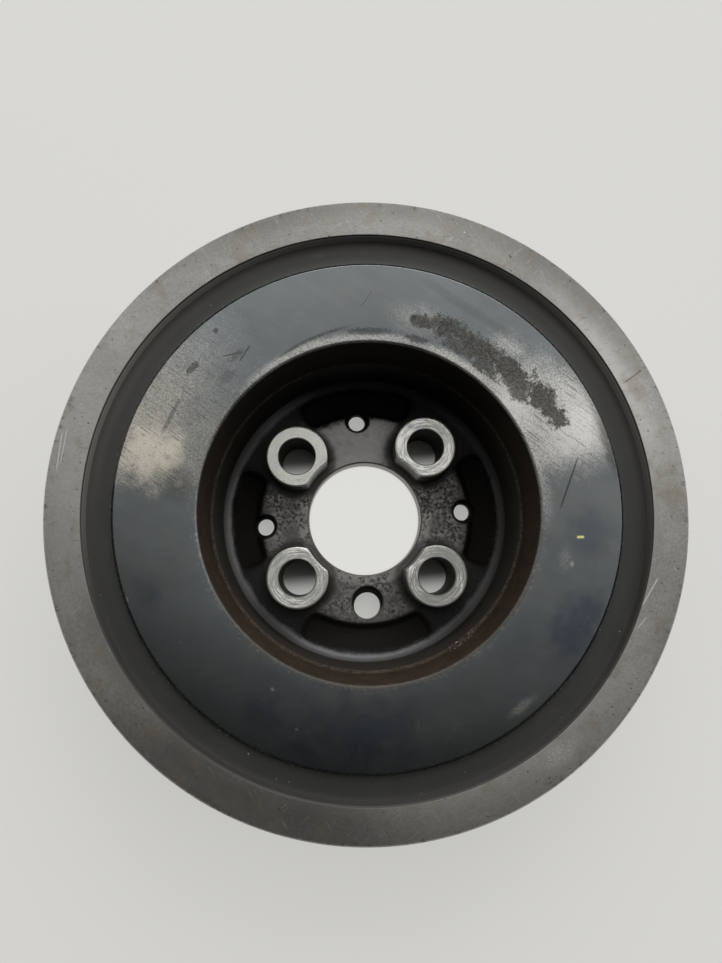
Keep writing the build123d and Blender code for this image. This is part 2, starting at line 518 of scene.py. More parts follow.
def ring_tones(skin, settings):
    """Lighter and darker stretches round the face, and thin brown stains."""
    radius = skin.radius
    wander = (skin.blotches - 0.5) * 0.5
    light = skin.either(skin.sector(166.0, 22.0, 16.0), skin.sector(298.0, 24.0, 16.0)) + wander
    inner = skin.sector(22.0, 16.0, 14.0) * (1 - skin.rise(radius, 84.0, 91.0) * 0.7)
    # Darker at 242°, 210° and 75° (towards +Y); lighter at 166°, 298° and 22°
    dark = skin.either(
        skin.sector(242.0, 24.0, 14.0) * (1.25 - skin.rise(radius, 86.0, 94.0) * 0.5),
        skin.sector(210.0, 20.0, 12.0) * skin.fall(radius, 84.0, 90.0) * 0.7,
        skin.sector(75.0, 50.0, 20.0) * (0.2 + skin.rise(radius, 84.0, 93.0)) * 0.9,
    )
    skin.cover(light * 0.40, settings.pale)
    skin.cover(inner * 0.60, CLEAN_IRON)
    skin.cover(dark * 0.66, DARK_STRETCH_IRON)
    brown = skin.rise(skin.noise(skin.place, 0.11, 4.0, 0.65), 0.50, 0.70)
    skin.cover(brown * 0.38, settings.stain, metallic=0.7, roughness=0.55)


def ring_marks(skin, settings):
    """Nicks, specks, brown strokes, scratches and scuffs on the ring's face."""
    grain, fine, place = skin.grain, skin.fine, skin.place
    outer, front = settings.outer_radius / MM, settings.front / MM
    face = skin.rise(skin.z, front - 1.3, front - 0.3)
    strokes = skin.rise(skin.streaks(0.0, 1.3, 4.0), 0.64, 0.70)
    skin.cover(strokes * face * 0.55, BROWN_STROKES)
    hairlines = skin.either(
        skin.rise(skin.streaks(35.0, 2.2, 16.0), 0.64, 0.72),
        skin.rise(skin.streaks(118.0, 2.2, 16.0), 0.64, 0.72),
    )
    skin.cover(hairlines * face * 0.40, FINE_SCRATCHES)

    rays = skin.noise(skin.turned(0.22, 70.0), 1.0, 2.0)
    edge_dirt = skin.rise(skin.radius, outer - 2.5, outer - 0.2) * skin.rise(rays, 0.57, 0.70)
    nicks = skin.rise(rays * 0.45 + grain * 0.55, 0.62, 0.70)
    specks = skin.either(skin.specks(place, 0.50, 0.20), skin.specks(place, 0.21, 0.14))
    dark_marks = skin.either(edge_dirt * 0.7, nicks * 0.6, specks * 0.8)
    skin.cover(dark_marks * face, PIT_DIRT, metallic=0.5, roughness=0.6)

    scuffs = skin.either(
        skin.scratches(RING_SCRATCHES),
        skin.spot(303.0, 87.5, 2.6, 5.0, (grain - 0.5) * 2.4) * skin.rise(fine, 0.5, 0.6),
        skin.spot(18.0, 90.0, 2.2, 5.5, (grain - 0.5) * 2.2) * skin.rise(fine, 0.52, 0.62) * 0.5,
        skin.specks(place, 0.34, 0.09) * skin.rise(skin.blotches, 0.50, 0.56),
    )
    skin.cover(scuffs * face * 0.8, SCUFFED_IRON)
    crack = skin.scratch(*RING_CRACK) * face
    skin.cover(crack * 0.6, CRACK_DIRT)
    skin.height = skin.height - nicks * 0.5 - specks * 0.6 - crack


def ring_sides(skin, settings):
    """Dirty grooves with rubbed crests, a stained back and a rubbed front edge."""
    radius, z, grain = skin.radius, skin.z, skin.grain
    outer, front, back = settings.outer_radius / MM, settings.front / MM, settings.back / MM
    crests = outer - settings.lip_height / MM
    roots = crests - settings.groove_depth / MM
    track = skin.band(z, back + 2.1, front - 2.1, 0.15) * skin.rise(radius, roots - 3.4, roots - 2.8)
    uneven = radius + (grain - 0.5) * 1.2
    dirty = track * skin.fall(uneven, roots + 0.2, roots + 2.0)
    skin.cover(dirty * 0.75, GROOVE_DIRT, metallic=0.4, roughness=0.65)
    on_crest = skin.rise(radius, crests - 1.0, crests - 0.1)
    below_lip = skin.fall(radius, crests + 0.2, crests + 0.7)
    skin.cover(track * on_crest * below_lip * 0.5, RUBBED_CRESTS)
    behind = skin.fall(z, back + 0.1, back + 0.9)
    stained = behind * skin.rise(skin.blotches, 0.4, 0.6)
    skin.cover(stained * 0.6, settings.stain, metallic=0.6, roughness=0.6)
    edge = skin.band(z, front - 0.75, front - 0.25, 0.12) * skin.rise(radius, outer - 1.0, outer - 0.7)
    skin.cover(edge * skin.rise(grain, 0.38, 0.62) * 0.6, RUBBED_EDGE)


def ring_bore(skin, settings):
    """The wall that shows above the rubber: grimy, with dust and painted light towards +Y, and a painted
    shade line along its front edge.
    """
    inner, front = settings.inner_radius / MM, settings.front / MM
    bore = skin.fall(skin.radius, inner + 0.35, inner + 0.6)
    # Painted light: the wall is made lighter towards +Y, and its dust colour carries that light
    dusty_lit_side = skin.rise(skin.along, -0.45, 0.75)
    wall = skin.mixed(dusty_lit_side, WALL_GRIME, WALL_DUST_AND_LIGHT)
    skin.cover(bore * 0.95, wall, metallic=0.0, roughness=0.5)
    # Painted shade: a dark line along the wall's front edge, over the highlight its chamfer would catch
    skin.cover(bore * skin.rise(skin.z, front - 0.5, front - 0.3), WALL_EDGE_SHADE)


# Finish of the rubber

SMUDGE = (0.13, 0.12, 0.105)
CRUMBS = (0.33, 0.31, 0.28)
SEAM_SHADE = (0.008, 0.008, 0.008)

SMUDGES = (
    (112.0, 81.6, 0.7, 9.0, 0.6, 0.5),
    (97.0, 80.0, 0.6, 2.0, 0.6, 0.4),
)


def rubber_finish(settings):
    """Aged rubber, dull and with a little dust, with painted shade lines where it meets the iron and
    painted light on its outer +Y side.
    """
    skin = Skin("damper_rubber")
    radius, place, grain = skin.radius, skin.place, skin.grain
    inner, outer = settings.inner_radius / MM, settings.outer_radius / MM
    smears = skin.noise(skin.turned(0.35, 10.0), 1.0, 3.0)
    dust = skin.rise(skin.patches * 0.5 + grain * 0.3 + smears * 0.2, 0.44, 0.70)
    skin.start(
        skin.mixed(dust * 0.16, settings.black, settings.dust),
        metallic=0.0,
        roughness=0.42 + grain * 0.14,
        height=grain * 0.5,
    )
    skin.cover(skin.spots(SMUDGES, (grain - 0.5) * 2.0), SMUDGE)
    crumbs = skin.specks(place, 0.30, 0.11)
    seam = skin.fall(radius, inner + 0.2, inner + 1.0)
    seam_crumbs = seam * skin.rise(skin.noise(place, 1.9, 3.0), 0.60, 0.68)
    skin.cover(skin.either(crumbs * 0.6, seam_crumbs * 0.7), CRUMBS)
    # Painted shade: near-black lines where the rubber meets the ring and the hub
    seam_shade = skin.either(
        skin.rise(radius, outer - 0.2, outer - 0.05), skin.fall(radius, inner + 0.05, inner + 0.25)
    )
    skin.cover(seam_shade * 0.55, SEAM_SHADE)
    # Painted light: the dust colour lightens the rubber's outer part towards +Y
    dusty_lit_side = skin.rise(skin.along, -0.3, 0.7) * skin.rise(radius, 78.5, 81.5)
    skin.cover(dusty_lit_side * 0.8, settings.dust)
    skin.height = skin.height + crumbs
    return skin.finish(0.05)


# Finishes of the hub

HUB_BUMP = 0.08
HUB_SPECULAR = 0.25
OILY_SPECULAR = 0.10


def hub_finishes(settings):
    """The hub's finishes, in the order in which sort_faces numbers them."""
    return [
        plate_finish(settings),
        wall_finish(settings),
        flange_finish(settings),
        back_finish(settings),
    ]


# The plate

NAVY = (0.055, 0.070, 0.105)
BROWN_HAZE = (0.175, 0.168, 0.150)
BRIGHT_WEAR = (0.70, 0.69, 0.66)
WARM_WEAR = (0.68, 0.62, 0.51)
WEAR_CLOUDS = (0.085, 0.086, 0.082)
STAIN_DARK = (0.030, 0.0288, 0.0245)
STAIN_PALE = (0.118, 0.114, 0.102)
DARK_MARKS = (0.030, 0.031, 0.031)
LIGHT_MARKS = (0.36, 0.35, 0.32)
YELLOW_PAINT = (0.80, 0.78, 0.34)
TURN_IN_RUST_AND_SHADE = (0.058, 0.047, 0.037)
MOUTH_FLECKS = (0.281, 0.265, 0.234)
RIM_FLECKS = (0.40, 0.39, 0.36)

NAVY_CLOUDS = (
    (325.0, 68.5, 6.0, 10.0, 0.7, 1.0),
    (350.0, 66.0, 5.0, 7.0, 0.8, 0.7),
    (262.0, 64.0, 9.0, 15.0, 0.7, 1.0),
    (196.0, 68.0, 3.0, 4.0, 0.7, 0.7),
    (238.0, 66.0, 5.0, 6.0, 0.7, 0.7),
)
WORN_CORES = (
    (17.0, 66.5, 9.0, 9.5, 0.8, 1.0),
    (31.0, 54.0, 4.5, 8.0, 0.8, 0.9),
    (161.0, 66.0, 11.0, 10.0, 0.8, 1.0),
)
WORN_SPOTS = (
    (72.0, 60.0, 6.0, 9.0, 0.8, 0.42),
    (45.0, 65.0, 4.5, 7.0, 0.8, 0.6),
    (303.0, 71.5, 2.0, 6.5, 0.7, 0.40),
    (341.0, 59.5, 2.4, 4.0, 0.8, 0.40),
)
STAIN_PATCHES = (
    (70.0, 59.3, 1.8, 3.2, 0.3, 1.0),
    (62.0, 60.2, 2.6, 5.0, 0.3, 1.0),
    (52.0, 59.5, 2.8, 6.5, 0.3, 1.0),
    (40.0, 59.8, 3.0, 7.5, 0.3, 1.0),
    (29.0, 62.0, 3.4, 6.5, 0.3, 1.0),
    (21.5, 63.0, 2.6, 2.8, 0.3, 1.0),
    (57.0, 56.6, 1.8, 4.5, 0.3, 0.8),
    (47.0, 56.0, 2.2, 5.0, 0.3, 0.9),
    (35.0, 57.6, 2.4, 5.0, 0.3, 0.9),
)
DARK_SCRATCHES = (
    ((63.8, 9.2), (56.6, 356.2), 0.36, 1.0),
    ((63.3, 129.3), (60.6, 124.4), 0.30, 0.8),
    ((60.8, 122.0), (59.0, 126.8), 0.30, 0.9),
    ((66.4, 85.0), (61.5, 88.0), 0.22, 0.5),
    ((72.0, 72.0), (69.0, 40.0), 2.2, 0.2),
)
DARK_SPOTS = (
    (86.0, 53.8, 1.1, 6.5, 0.35, 0.7),
    (70.0, 53.4, 1.2, 3.5, 0.35, 0.8),
    (126.3, 70.7, 0.8, 0.9, 0.35, 0.8),
    (137.0, 67.6, 1.0, 2.4, 0.35, 0.8),
    (126.5, 61.0, 1.0, 2.4, 0.35, 0.45),
    (133.0, 58.0, 1.6, 3.0, 0.35, 0.3),
    (150.0, 65.0, 0.6, 6.0, 0.35, 0.6),
)
DARK_CLOUDS = (
    (168.0, 57.5, 4.0, 5.0, 0.6, 0.55),
    (12.0, 74.0, 1.6, 9.0, 0.6, 0.6),
)
LIGHT_SCRATCHES = (
    ((61.0, 278.5), (66.5, 277.0), 0.25, 0.25),
    ((66.0, 288.0), (70.0, 283.0), 0.35, 0.25),
)
LIGHT_SPOTS = (
    (340.5, 61.5, 0.6, 0.9, 0.35, 1.0),
    (237.0, 58.5, 0.5, 0.6, 0.35, 1.0),
    (247.0, 66.0, 0.35, 0.5, 0.35, 1.0),
    (196.0, 74.5, 0.4, 0.8, 0.35, 1.0),
)
LIGHT_SCUFF = (303.0, 71.4, 0.9, 3.4)
PAINT_FLECK = ((61.7, 348.0), (63.7, 348.3), 0.55)


def plate_finish(settings):
    """A smooth dark coat, worn through in places, with rust where it turns into the cup."""
    skin = Skin("coated_plate")
    grain = skin.grain
    skin.start(
        plate_coat(skin, settings),
        metallic=1.0,
        roughness=0.24 + (grain - 0.5) * 0.14,
        height=grain * 0.05 + skin.fine * 0.02,
    )
    plate_wear(skin, settings)
    plate_stain(skin)
    plate_dark_marks(skin)
    plate_light_marks(skin)
    plate_edges(skin, settings)
    return skin.finish(HUB_BUMP, specular=HUB_SPECULAR)


def plate_coat(skin, settings):
    """The coat's colour, with clouds of navy and of brownish haze, and painted shade towards −Y near the
    mouth.
    """
    blotches, grain = skin.blotches, skin.grain
    # Painted shade: the coat is darker towards −Y, inside about 60 mm
    low = skin.rise(0 - skin.along, 0.35, 0.95) * skin.fall(skin.radius, 56.0, 68.0)
    shade = 0.74 + skin.patches * 0.40 + blotches * 0.10 + (grain - 0.5) * 0.16 - low * 0.22
    smears = skin.streaks(150.0, 0.30, 5.0)
    coat = skin.shaded(settings.coat, shade + (smears - 0.5) * 0.22)
    navy = skin.spots(NAVY_CLOUDS, (blotches - 0.5) * 2.5)
    coat = skin.mixed(navy * 0.6, coat, NAVY)
    haze = skin.rise(skin.noise(skin.place, 0.075, 4.0, 0.7), 0.44, 0.66) * (0.25 + grain * 0.35)
    return skin.mixed(haze * 0.55, coat, BROWN_HAZE)


def worn_places(skin):
    """Where the coat is worn: everywhere, at the brightest cores, and the left patch alone."""
    radius = skin.radius
    turn = skin.turn + (skin.blotches - 0.5) * 16.0
    wander = (skin.blotches - 0.5) * 1.6 + (skin.grain - 0.5) * 0.8
    slant = turn + (radius - 60.0) * 0.85
    right = skin.rise(turn, -2.0, 15.0) * skin.fall(slant, 34.0, 58.0)
    left = skin.rise(turn, 104.0, 150.0) * skin.fall(turn, 164.0, 178.0)
    beside_mouth = skin.fall(radius + wander * 1.5, 51.8, 55.6)
    cores = skin.spots(WORN_CORES, wander)
    everywhere = skin.either(
        right * (1 - skin.rise(radius, 72.0, 75.0) * 0.4) * 0.80,
        left * (0.48 + skin.rise(radius, 60.0, 66.0) * 0.16),
        cores,
        skin.spots(WORN_SPOTS, wander),
        skin.sector(2.0, 12.0, 9.0) * skin.fall(radius + wander * 2.0, 52.5, 57.0) * 0.5,
        skin.sector(36.0, 34.0, 16.0) * beside_mouth * 0.95,
        skin.sector(100.0, 34.0, 18.0) * beside_mouth * 0.78,
    )
    return everywhere, cores, left


def plate_wear(skin, settings):
    """The coat worn through: two broad patches and a strip beside the mouth."""
    grain = skin.grain
    patches, cores, left = worn_places(skin)
    scratches = skin.either(
        skin.rise(skin.streaks(138.0, 2.2, 22.0), 0.56, 0.66),
        skin.rise(skin.streaks(75.0, 2.0, 16.0), 0.60, 0.70) * 0.6,
    )
    speckle = skin.noise(skin.place, 2.2, 3.0, 0.75)
    uneven = patches + (speckle - 0.5) * 0.55 + (grain - 0.5) * 0.5 - scratches * 0.30
    worn = skin.rise(uneven, 0.06, 0.84) * (0.18 + patches * 0.76)
    bright = speckle * 0.75 + grain * 0.25 - scratches * 0.16 + cores * 0.14
    iron = skin.mixed(skin.sector(160.0, 20.0, 10.0) * 0.8, BRIGHT_WEAR, WARM_WEAR)
    iron = skin.mixed(skin.rise(bright, 0.34, 0.66), settings.bare, iron)
    skin.cover(worn, iron, metallic=0.95, roughness=0.42)
    skin.height = skin.height + worn * (speckle * 0.6 + grain * 0.3)
    clouds = skin.rise(skin.noise(skin.place, 0.42, 4.0, 0.75), 0.56, 0.68) * left
    skin.cover(clouds * 0.40, WEAR_CLOUDS)


def plate_stain(skin):
    """A band of dark mottled stain on the plate."""
    place = skin.place
    coarse, rough = skin.noise(place, 0.32, 3.0, 0.6), skin.noise(place, 1.1, 4.0, 0.75)
    ragged = (coarse - 0.5) * 2.0 + (rough - 0.5) * 2.2 - 0.16
    stain = skin.spots(STAIN_PATCHES, ragged)
    mottle = skin.rise(skin.noise(place, 1.5, 3.0, 0.7), 0.36, 0.64)
    tone = skin.mixed(mottle, STAIN_DARK, STAIN_PALE)
    skin.cover(stain * 0.92, tone, metallic=0.1, roughness=0.62)
    skin.height = skin.height + stain * skin.grain * 0.8


def plate_dark_marks(skin):
    """Dark scratches, spots and clouds, and the arc that runs beside the mouth."""
    grain = skin.grain
    arc = skin.band(skin.radius - skin.x * 0.114, 55.4, 56.2, 0.5) * skin.sector(104.5, 11.0, 4.0)
    marks = skin.either(
        arc * skin.rise(grain, 0.30, 0.55) * 0.9,
        skin.scratches(DARK_SCRATCHES),
        skin.spots(DARK_SPOTS, (grain - 0.5) * 2.5),
        skin.spots(DARK_CLOUDS, (skin.blotches - 0.5) * 2.0),
        skin.specks(skin.place, 0.12, 0.055) * 0.6,
    )
    skin.cover(marks * 0.75, DARK_MARKS, metallic=0.6, roughness=0.5)
    skin.height = skin.height - marks * 0.5


def plate_light_marks(skin):
    """Light scratches, specks, dust beside the mouth and one fleck of yellow paint."""
    radius, place = skin.radius, skin.place
    near_mouth = skin.fall(radius, 50.8, 54.0)
    dust = skin.rise(skin.noise(place, 1.0, 3.0, 0.7), 0.55, 0.64) * near_mouth
    marks = skin.either(
        skin.scratches(LIGHT_SCRATCHES),
        skin.spots(LIGHT_SPOTS),
        skin.spot(*LIGHT_SCUFF, (skin.grain - 0.5) * 2.5, 0.3) * 0.8,
        skin.specks(place, 0.16, 0.05) * 0.8,
        skin.specks(place, 0.55, 0.09) * skin.fall(radius, 51.5, 58.0) * 0.7,
        dust * 0.8,
    )
    skin.cover(marks * 0.75, LIGHT_MARKS)
    skin.cover(skin.scratch(*PAINT_FLECK), YELLOW_PAINT)


def plate_edges(skin, settings):
    """Rust with painted shade, and rubbed flecks, where the plate turns into the cup, and flecks along the
    rim.
    """
    radius, z, grain = skin.radius, skin.z, skin.grain
    mouth, rim, front = settings.mouth_radius / MM, settings.rim_radius / MM, settings.front / MM
    # Rust on the mouth's −Y side, which also paints shade over the highlight that the +Y light puts on the
    # rounding
    turn_in_rust_shade = skin.band(radius, mouth, mouth + 1.0, 0.3) * skin.rise(0 - skin.along, 0.0, 0.8)
    skin.cover(turn_in_rust_shade * 0.8, TURN_IN_RUST_AND_SHADE, metallic=0.0, roughness=0.6)
    edge = skin.band(radius + (grain - 0.5) * 1.6, mouth - 0.4, mouth + 0.3, 0.3)
    edge = edge * skin.rise(z, front - 1.6, front - 0.6)
    skin.cover(edge * skin.rise(grain, 0.53, 0.64) * 0.45, MOUTH_FLECKS, metallic=0.7)
    along_rim = skin.rise(radius, rim - 1.1, rim - 0.7) * skin.rise(z, front - 1.4, front - 0.8)
    skin.cover(along_rim * skin.rise(grain, 0.50, 0.62) * 0.5, RIM_FLECKS, metallic=0.7)
    inside = skin.fall(radius, mouth - 0.1, mouth + 0.35)
    skin.cover(inside, rust_with_shade(skin, settings), metallic=0.0, roughness=0.78)


# The cup's wall

PALE_RUST = (0.042, 0.026, 0.0145)
WALL_COAT_DARK = (0.0218, 0.0195, 0.0172)
WALL_COAT_PALE = (0.0468, 0.0384, 0.0306)
LEDGE_RUST = (0.125, 0.095, 0.067)
SCALE = (0.484, 0.429, 0.343)


def cup_top_shade(skin):
    """Below 1 on the cup's +Y side: painted shade that makes everything there darker."""
    return 1 - skin.rise(skin.along, -0.2, 0.85) * 0.55


def rust_with_shade(skin, settings):
    """Brown rust, with painted shade on the cup's +Y side."""
    uneven = skin.rise(skin.grain * 0.6 + skin.blotches * 0.4, 0.38, 0.66)
    return skin.shaded(skin.mixed(uneven, settings.rust, PALE_RUST), cup_top_shade(skin))


def wall_coat_with_shade(skin):
    """The dark coat on the lower part of the cup's wall, with painted shade on its +Y side."""
    coat = skin.mixed(skin.blotches * 0.8, WALL_COAT_DARK, WALL_COAT_PALE)
    return skin.shaded(coat, cup_top_shade(skin))


def wall_finish(settings):
    """Rust above the ledge, a dark coat below it, and a few flakes of scale on it, all with painted shade
    on the cup's +Y side.
    """
    skin = Skin("rusty_wall")
    z, grain = skin.z, skin.grain
    ledge = settings.ledge_height / MM
    skin.start(wall_coat_with_shade(skin), metallic=0.0, roughness=0.60, height=grain * 0.4)
    above = skin.rise(z, ledge - 0.3, ledge + 0.3)
    skin.cover(above, rust_with_shade(skin, settings), metallic=0.0, roughness=0.78)
    edge = skin.band(z, ledge - 0.5, ledge + 0.4, 0.25) * skin.rise(grain, 0.42, 0.6)
    skin.cover(edge * 0.5, skin.shaded(LEDGE_RUST, cup_top_shade(skin)))
    flakes = skin.spot(302.0, 49.2, 3.0, 4.5) * skin.band(z, ledge - 0.9, ledge + 3.0, 0.8)
    flakes = flakes * skin.rise(grain, 0.54, 0.62)
    skin.cover(flakes, SCALE)
    skin.height = skin.height + above * grain * 0.5 + flakes * 1.5
    return skin.finish(HUB_BUMP, specular=HUB_SPECULAR)


# The flange

PALE_OIL = (0.0585, 0.0562, 0.0562)
BLACK_OIL = (0.0125, 0.0117, 0.0117)
PAINTED_SHEEN = (0.195, 0.193, 0.198)
LAND_DARK = (0.125, 0.119, 0.113)
LAND_PALE = (0.345, 0.337, 0.33)
BORE_LIP = (0.42, 0.41, 0.39)
MURK_DARK = (0.003, 0.0027, 0.0022)
MURK_PALE = (0.013, 0.0108, 0.0082)
BOSS_SIDE_DARK = (0.0546, 0.053, 0.0499)
BOSS_SIDE_PALE = (0.187, 0.183, 0.176)
DULL_FACE = (0.33, 0.33, 0.31)
FACE_FLECKS = (0.40, 0.40, 0.375)
RUBBED_RINGS = (0.93, 0.925, 0.89)
FACE_PITS = (0.109, 0.105, 0.0975)
HOLE_DARK = (0.010, 0.0095, 0.009)
HOLE_PALE = (0.052, 0.050, 0.047)
BORE_DARK = (0.156, 0.148, 0.133)
BORE_PALE = (0.328, 0.312, 0.289)


def flange_finish(settings):
    """An oily floor with painted shade on its +Y side, rubbed lands, dark pockets and machined bosses."""
    skin = Skin("oily_flange")
    grain = skin.grain
    # Painted shade: the oil, and the murk in the pockets, are darker towards +Y
    top_shade = skin.sector(80.0, 36.0, 16.0)
    oil = skin.mixed(skin.rise(grain, 0.4, 0.7) * 0.5, settings.oil, PALE_OIL)
    skin.start(
        skin.shaded(oil, 1 - top_shade * 0.6),
        metallic=0.0,
        roughness=0.42 + (grain - 0.5) * 0.14,
        height=grain * 0.05,
    )
    iron, rubbed, hole, foot_oil_shade = boss_marks(skin, settings)
    flange_lands(skin, settings, foot_oil_shade, top_shade)
    flange_pockets(skin, settings, top_shade)
    flange_bosses(skin, settings, iron, rubbed)
    flange_holes(skin, settings, hole)
    return skin.finish(HUB_BUMP, specular=OILY_SPECULAR)


def flange_lands(skin, settings, foot_oil_shade, top_shade):
    """A painted sheen beside the wall, and rubbed lands with pits, and oil with painted shade round the
    bosses.
    """
    radius, z, grain, blotches = skin.radius, skin.z, skin.grain, skin.blotches
    flange, bore = settings.flange / MM, settings.bore_radius / MM
    # Painted sheen: a lighter, half-metallic band on the floor beside the wall, kept off the +Y side and
    # the right
    sheen = skin.rise(radius + (blotches - 0.5) * 3.0, 44.6, 46.6) * (1 - top_shade * 0.8)
    sheen = sheen * (1 - skin.sector(8.0, 44.0, 20.0) * 0.7)
    skin.cover(sheen * (0.6 + grain * 0.4), PAINTED_SHEEN, metallic=0.35)
    wall_foot = skin.rise(z, flange + 1.3, flange + 2.9) * skin.rise(radius, 44.0, 46.0)
    skin.cover(wall_foot, wall_coat_with_shade(skin), metallic=0.0, roughness=0.60)

    land = skin.rise(z, flange - 0.6, flange - 0.15) * skin.fall(radius, 44.6, 46.0)
    reach = radius + (blotches - 0.5) * 16.0 + (grain - 0.5) * 6.0
    scuffed = skin.fall(reach, 32.0, 40.0) * land * (1 - foot_oil_shade * 0.65)
    # Lighter and with fewer pits towards +Y
    clean = skin.sector(93.0, 26.0, 10.0)
    tone = skin.rise(blotches, 0.3, 0.7) + clean * 0.45
    skin.cover(scuffed, skin.mixed(tone, LAND_DARK, LAND_PALE), metallic=0.6, roughness=0.40)
    lip = land * skin.fall(radius + (grain - 0.5) * 2.0, bore + 2.65, bore + 4.25)
    skin.cover(lip * 0.5, BORE_LIP)
    pits = skin.noise(skin.place, 0.85, 5.0, 0.8) * 0.65 + blotches * 0.35
    pits = skin.rise(pits, 0.47, 0.58) * (1 - clean * 0.88) * scuffed
    skin.cover(pits * 0.85, BLACK_OIL, metallic=0.0)
    # Dark oil and painted shade round each boss's foot
    skin.cover(land * foot_oil_shade * 0.6, BLACK_OIL)
    skin.height = skin.height + scuffed * grain * 0.5 - pits * 0.8


def flange_pockets(skin, settings, top_shade):
    """Dark murk and painted shade in the pockets, which spread a little over their brims."""
    grain, flange = skin.grain, settings.flange / MM
    half_land = math.degrees(settings.land_half_angle)
    brim_dirt_and_shade = []
    for turn, next_turn in pocket_sides():
        middle, half_pocket = (turn + next_turn) / 2, (next_turn - turn) / 2 - half_land
        brim_dirt_and_shade.append(skin.sector(middle, half_pocket + 2.0, 3.5))
    inner, outer = settings.pocket_inner_radius / MM, settings.pocket_outer_radius / MM
    uneven = skin.radius + (grain - 0.5) * 3.0 + (skin.blotches - 0.5) * 2.0
    around = skin.band(uneven, inner - 2.0, outer + 0.6, 0.9)
    sunk = skin.fall(skin.z, flange - 1.3, flange - 0.1)
    pocket = around * skin.either(sunk, skin.either(*brim_dirt_and_shade) * (0.5 + grain * 0.6))
    widest = skin.sector(266.25, 34.0, 4.0)
    # Painted shade: near-black murk, darker towards +Y and less dark in the wide pocket at the bottom
    murk = skin.shaded(skin.mixed(grain, MURK_DARK, MURK_PALE), 1 - top_shade * 0.6)
    skin.cover(pocket * (0.94 - widest * 0.22), murk, metallic=0.0, roughness=0.70)


def from_boss(skin, settings, turn):
    """How far a point lies from a boss's axis, in millimetres: in x, in y and in all."""
    centre = polar(settings.boss_pitch_radius / MM, turn)
    across, along = skin.x - centre.x, skin.y - centre.y
    return across, along, (across * across + along * along) ** 0.5


def boss_marks(skin, settings):
    """Masks round the bosses: their iron, the rings that bolt heads rubbed, holes, and oil with painted
    shade round their feet.
    """
    iron, rubbed, hole, foot_oil_shade = [], [], [], []
    boss, bolt = settings.boss_radius / MM, settings.bolt_hole_radius / MM
    for turn in BOLT_ANGLES:
        across, along, distance = from_boss(skin, settings, turn)
        even, heading, uneven = BOSS_WEAR[turn]
        lean = polar(1.0, heading)
        side = abs(across * lean.x + along * lean.y) / distance
        circling = skin.combined(across / distance * 1.9, along / distance * 1.9, distance * 2.4)
        lines = skin.noise(circling, 1.0, 4.0, 0.75)
        worn = skin.rise(lines, 0.50 - even * 0.05, 0.57 - even * 0.04)
        seat = skin.band(distance, bolt + 0.6, boss - 0.6, 0.25)
        rubbed.append(worn * seat * (even + side * side * uneven))
        iron.append(skin.fall(distance, boss + 0.5, boss + 0.9))
        hole.append(skin.fall(distance, bolt + 0.05, bolt + 0.25))
        foot_oil_shade.append(skin.fall(distance, boss + 0.9, boss + 3.9))
    return [skin.either(*masks) for masks in (iron, rubbed, hole, foot_oil_shade)]


def flange_bosses(skin, settings, iron, rubbed):
    """Dull boss sides, and machined faces that bolt heads have rubbed."""
    z, grain = skin.z, skin.grain
    flange, head = settings.flange / MM, settings.boss_top / MM
    boss = iron * skin.rise(z, flange + 0.3, flange + 1.3) * skin.fall(skin.radius, 41.6, 42.2)
    sides = skin.mixed(grain, BOSS_SIDE_DARK, BOSS_SIDE_PALE)
    skin.cover(boss, sides, metallic=0.6, roughness=0.45)
    top = boss * skin.rise(z, head - 0.7, head - 0.2)
    # The faces are darker towards −Y, most of all towards +X
    dull = skin.rise(0 - skin.y, 0.0, 12.0) * (0.55 + skin.rise(skin.x, -5.0, 15.0) * 0.35)
    face = skin.mixed(dull, settings.boss_iron, DULL_FACE)
    flecks = skin.rise(skin.blotches * 0.5 + skin.fine * 0.5, 0.42, 0.7)
    face = skin.mixed(flecks * 0.6, face, FACE_FLECKS)
    skin.cover(top, face, metallic=0.85, roughness=0.33)
    skin.cover(top * rubbed, RUBBED_RINGS)
    skin.cover(top * skin.rise(grain, 0.60, 0.70) * 0.5, FACE_PITS)
    skin.height = skin.height + rubbed * top * 0.35


def flange_holes(skin, settings, hole):
    """Bolt holes with painted shade on their walls, and a clean centring bore."""
    grain, head, bore = skin.grain, settings.boss_top / MM, settings.bore_radius / MM
    wall = hole * skin.fall(skin.z, head - 0.6, head - 0.3)
    # Painted shade: near-black bolt-hole walls
    skin.cover(wall, skin.mixed(grain, HOLE_DARK, HOLE_PALE), metallic=0.2, roughness=0.50)
    inside = skin.fall(skin.radius, bore + 0.25, bore + 0.65)
    skin.cover(inside, skin.mixed(grain, BORE_DARK, BORE_PALE), metallic=0.8, roughness=0.40)


# The back

BACK_COAT = (0.0172, 0.0179, 0.0195)
BACK_RUST = (0.0624, 0.0429, 0.0296)
SEAT_DARK = (0.234, 0.222, 0.203)
SEAT_PALE = (0.359, 0.351, 0.328)
SEAT_RUST = (0.0936, 0.0507, 0.0257)


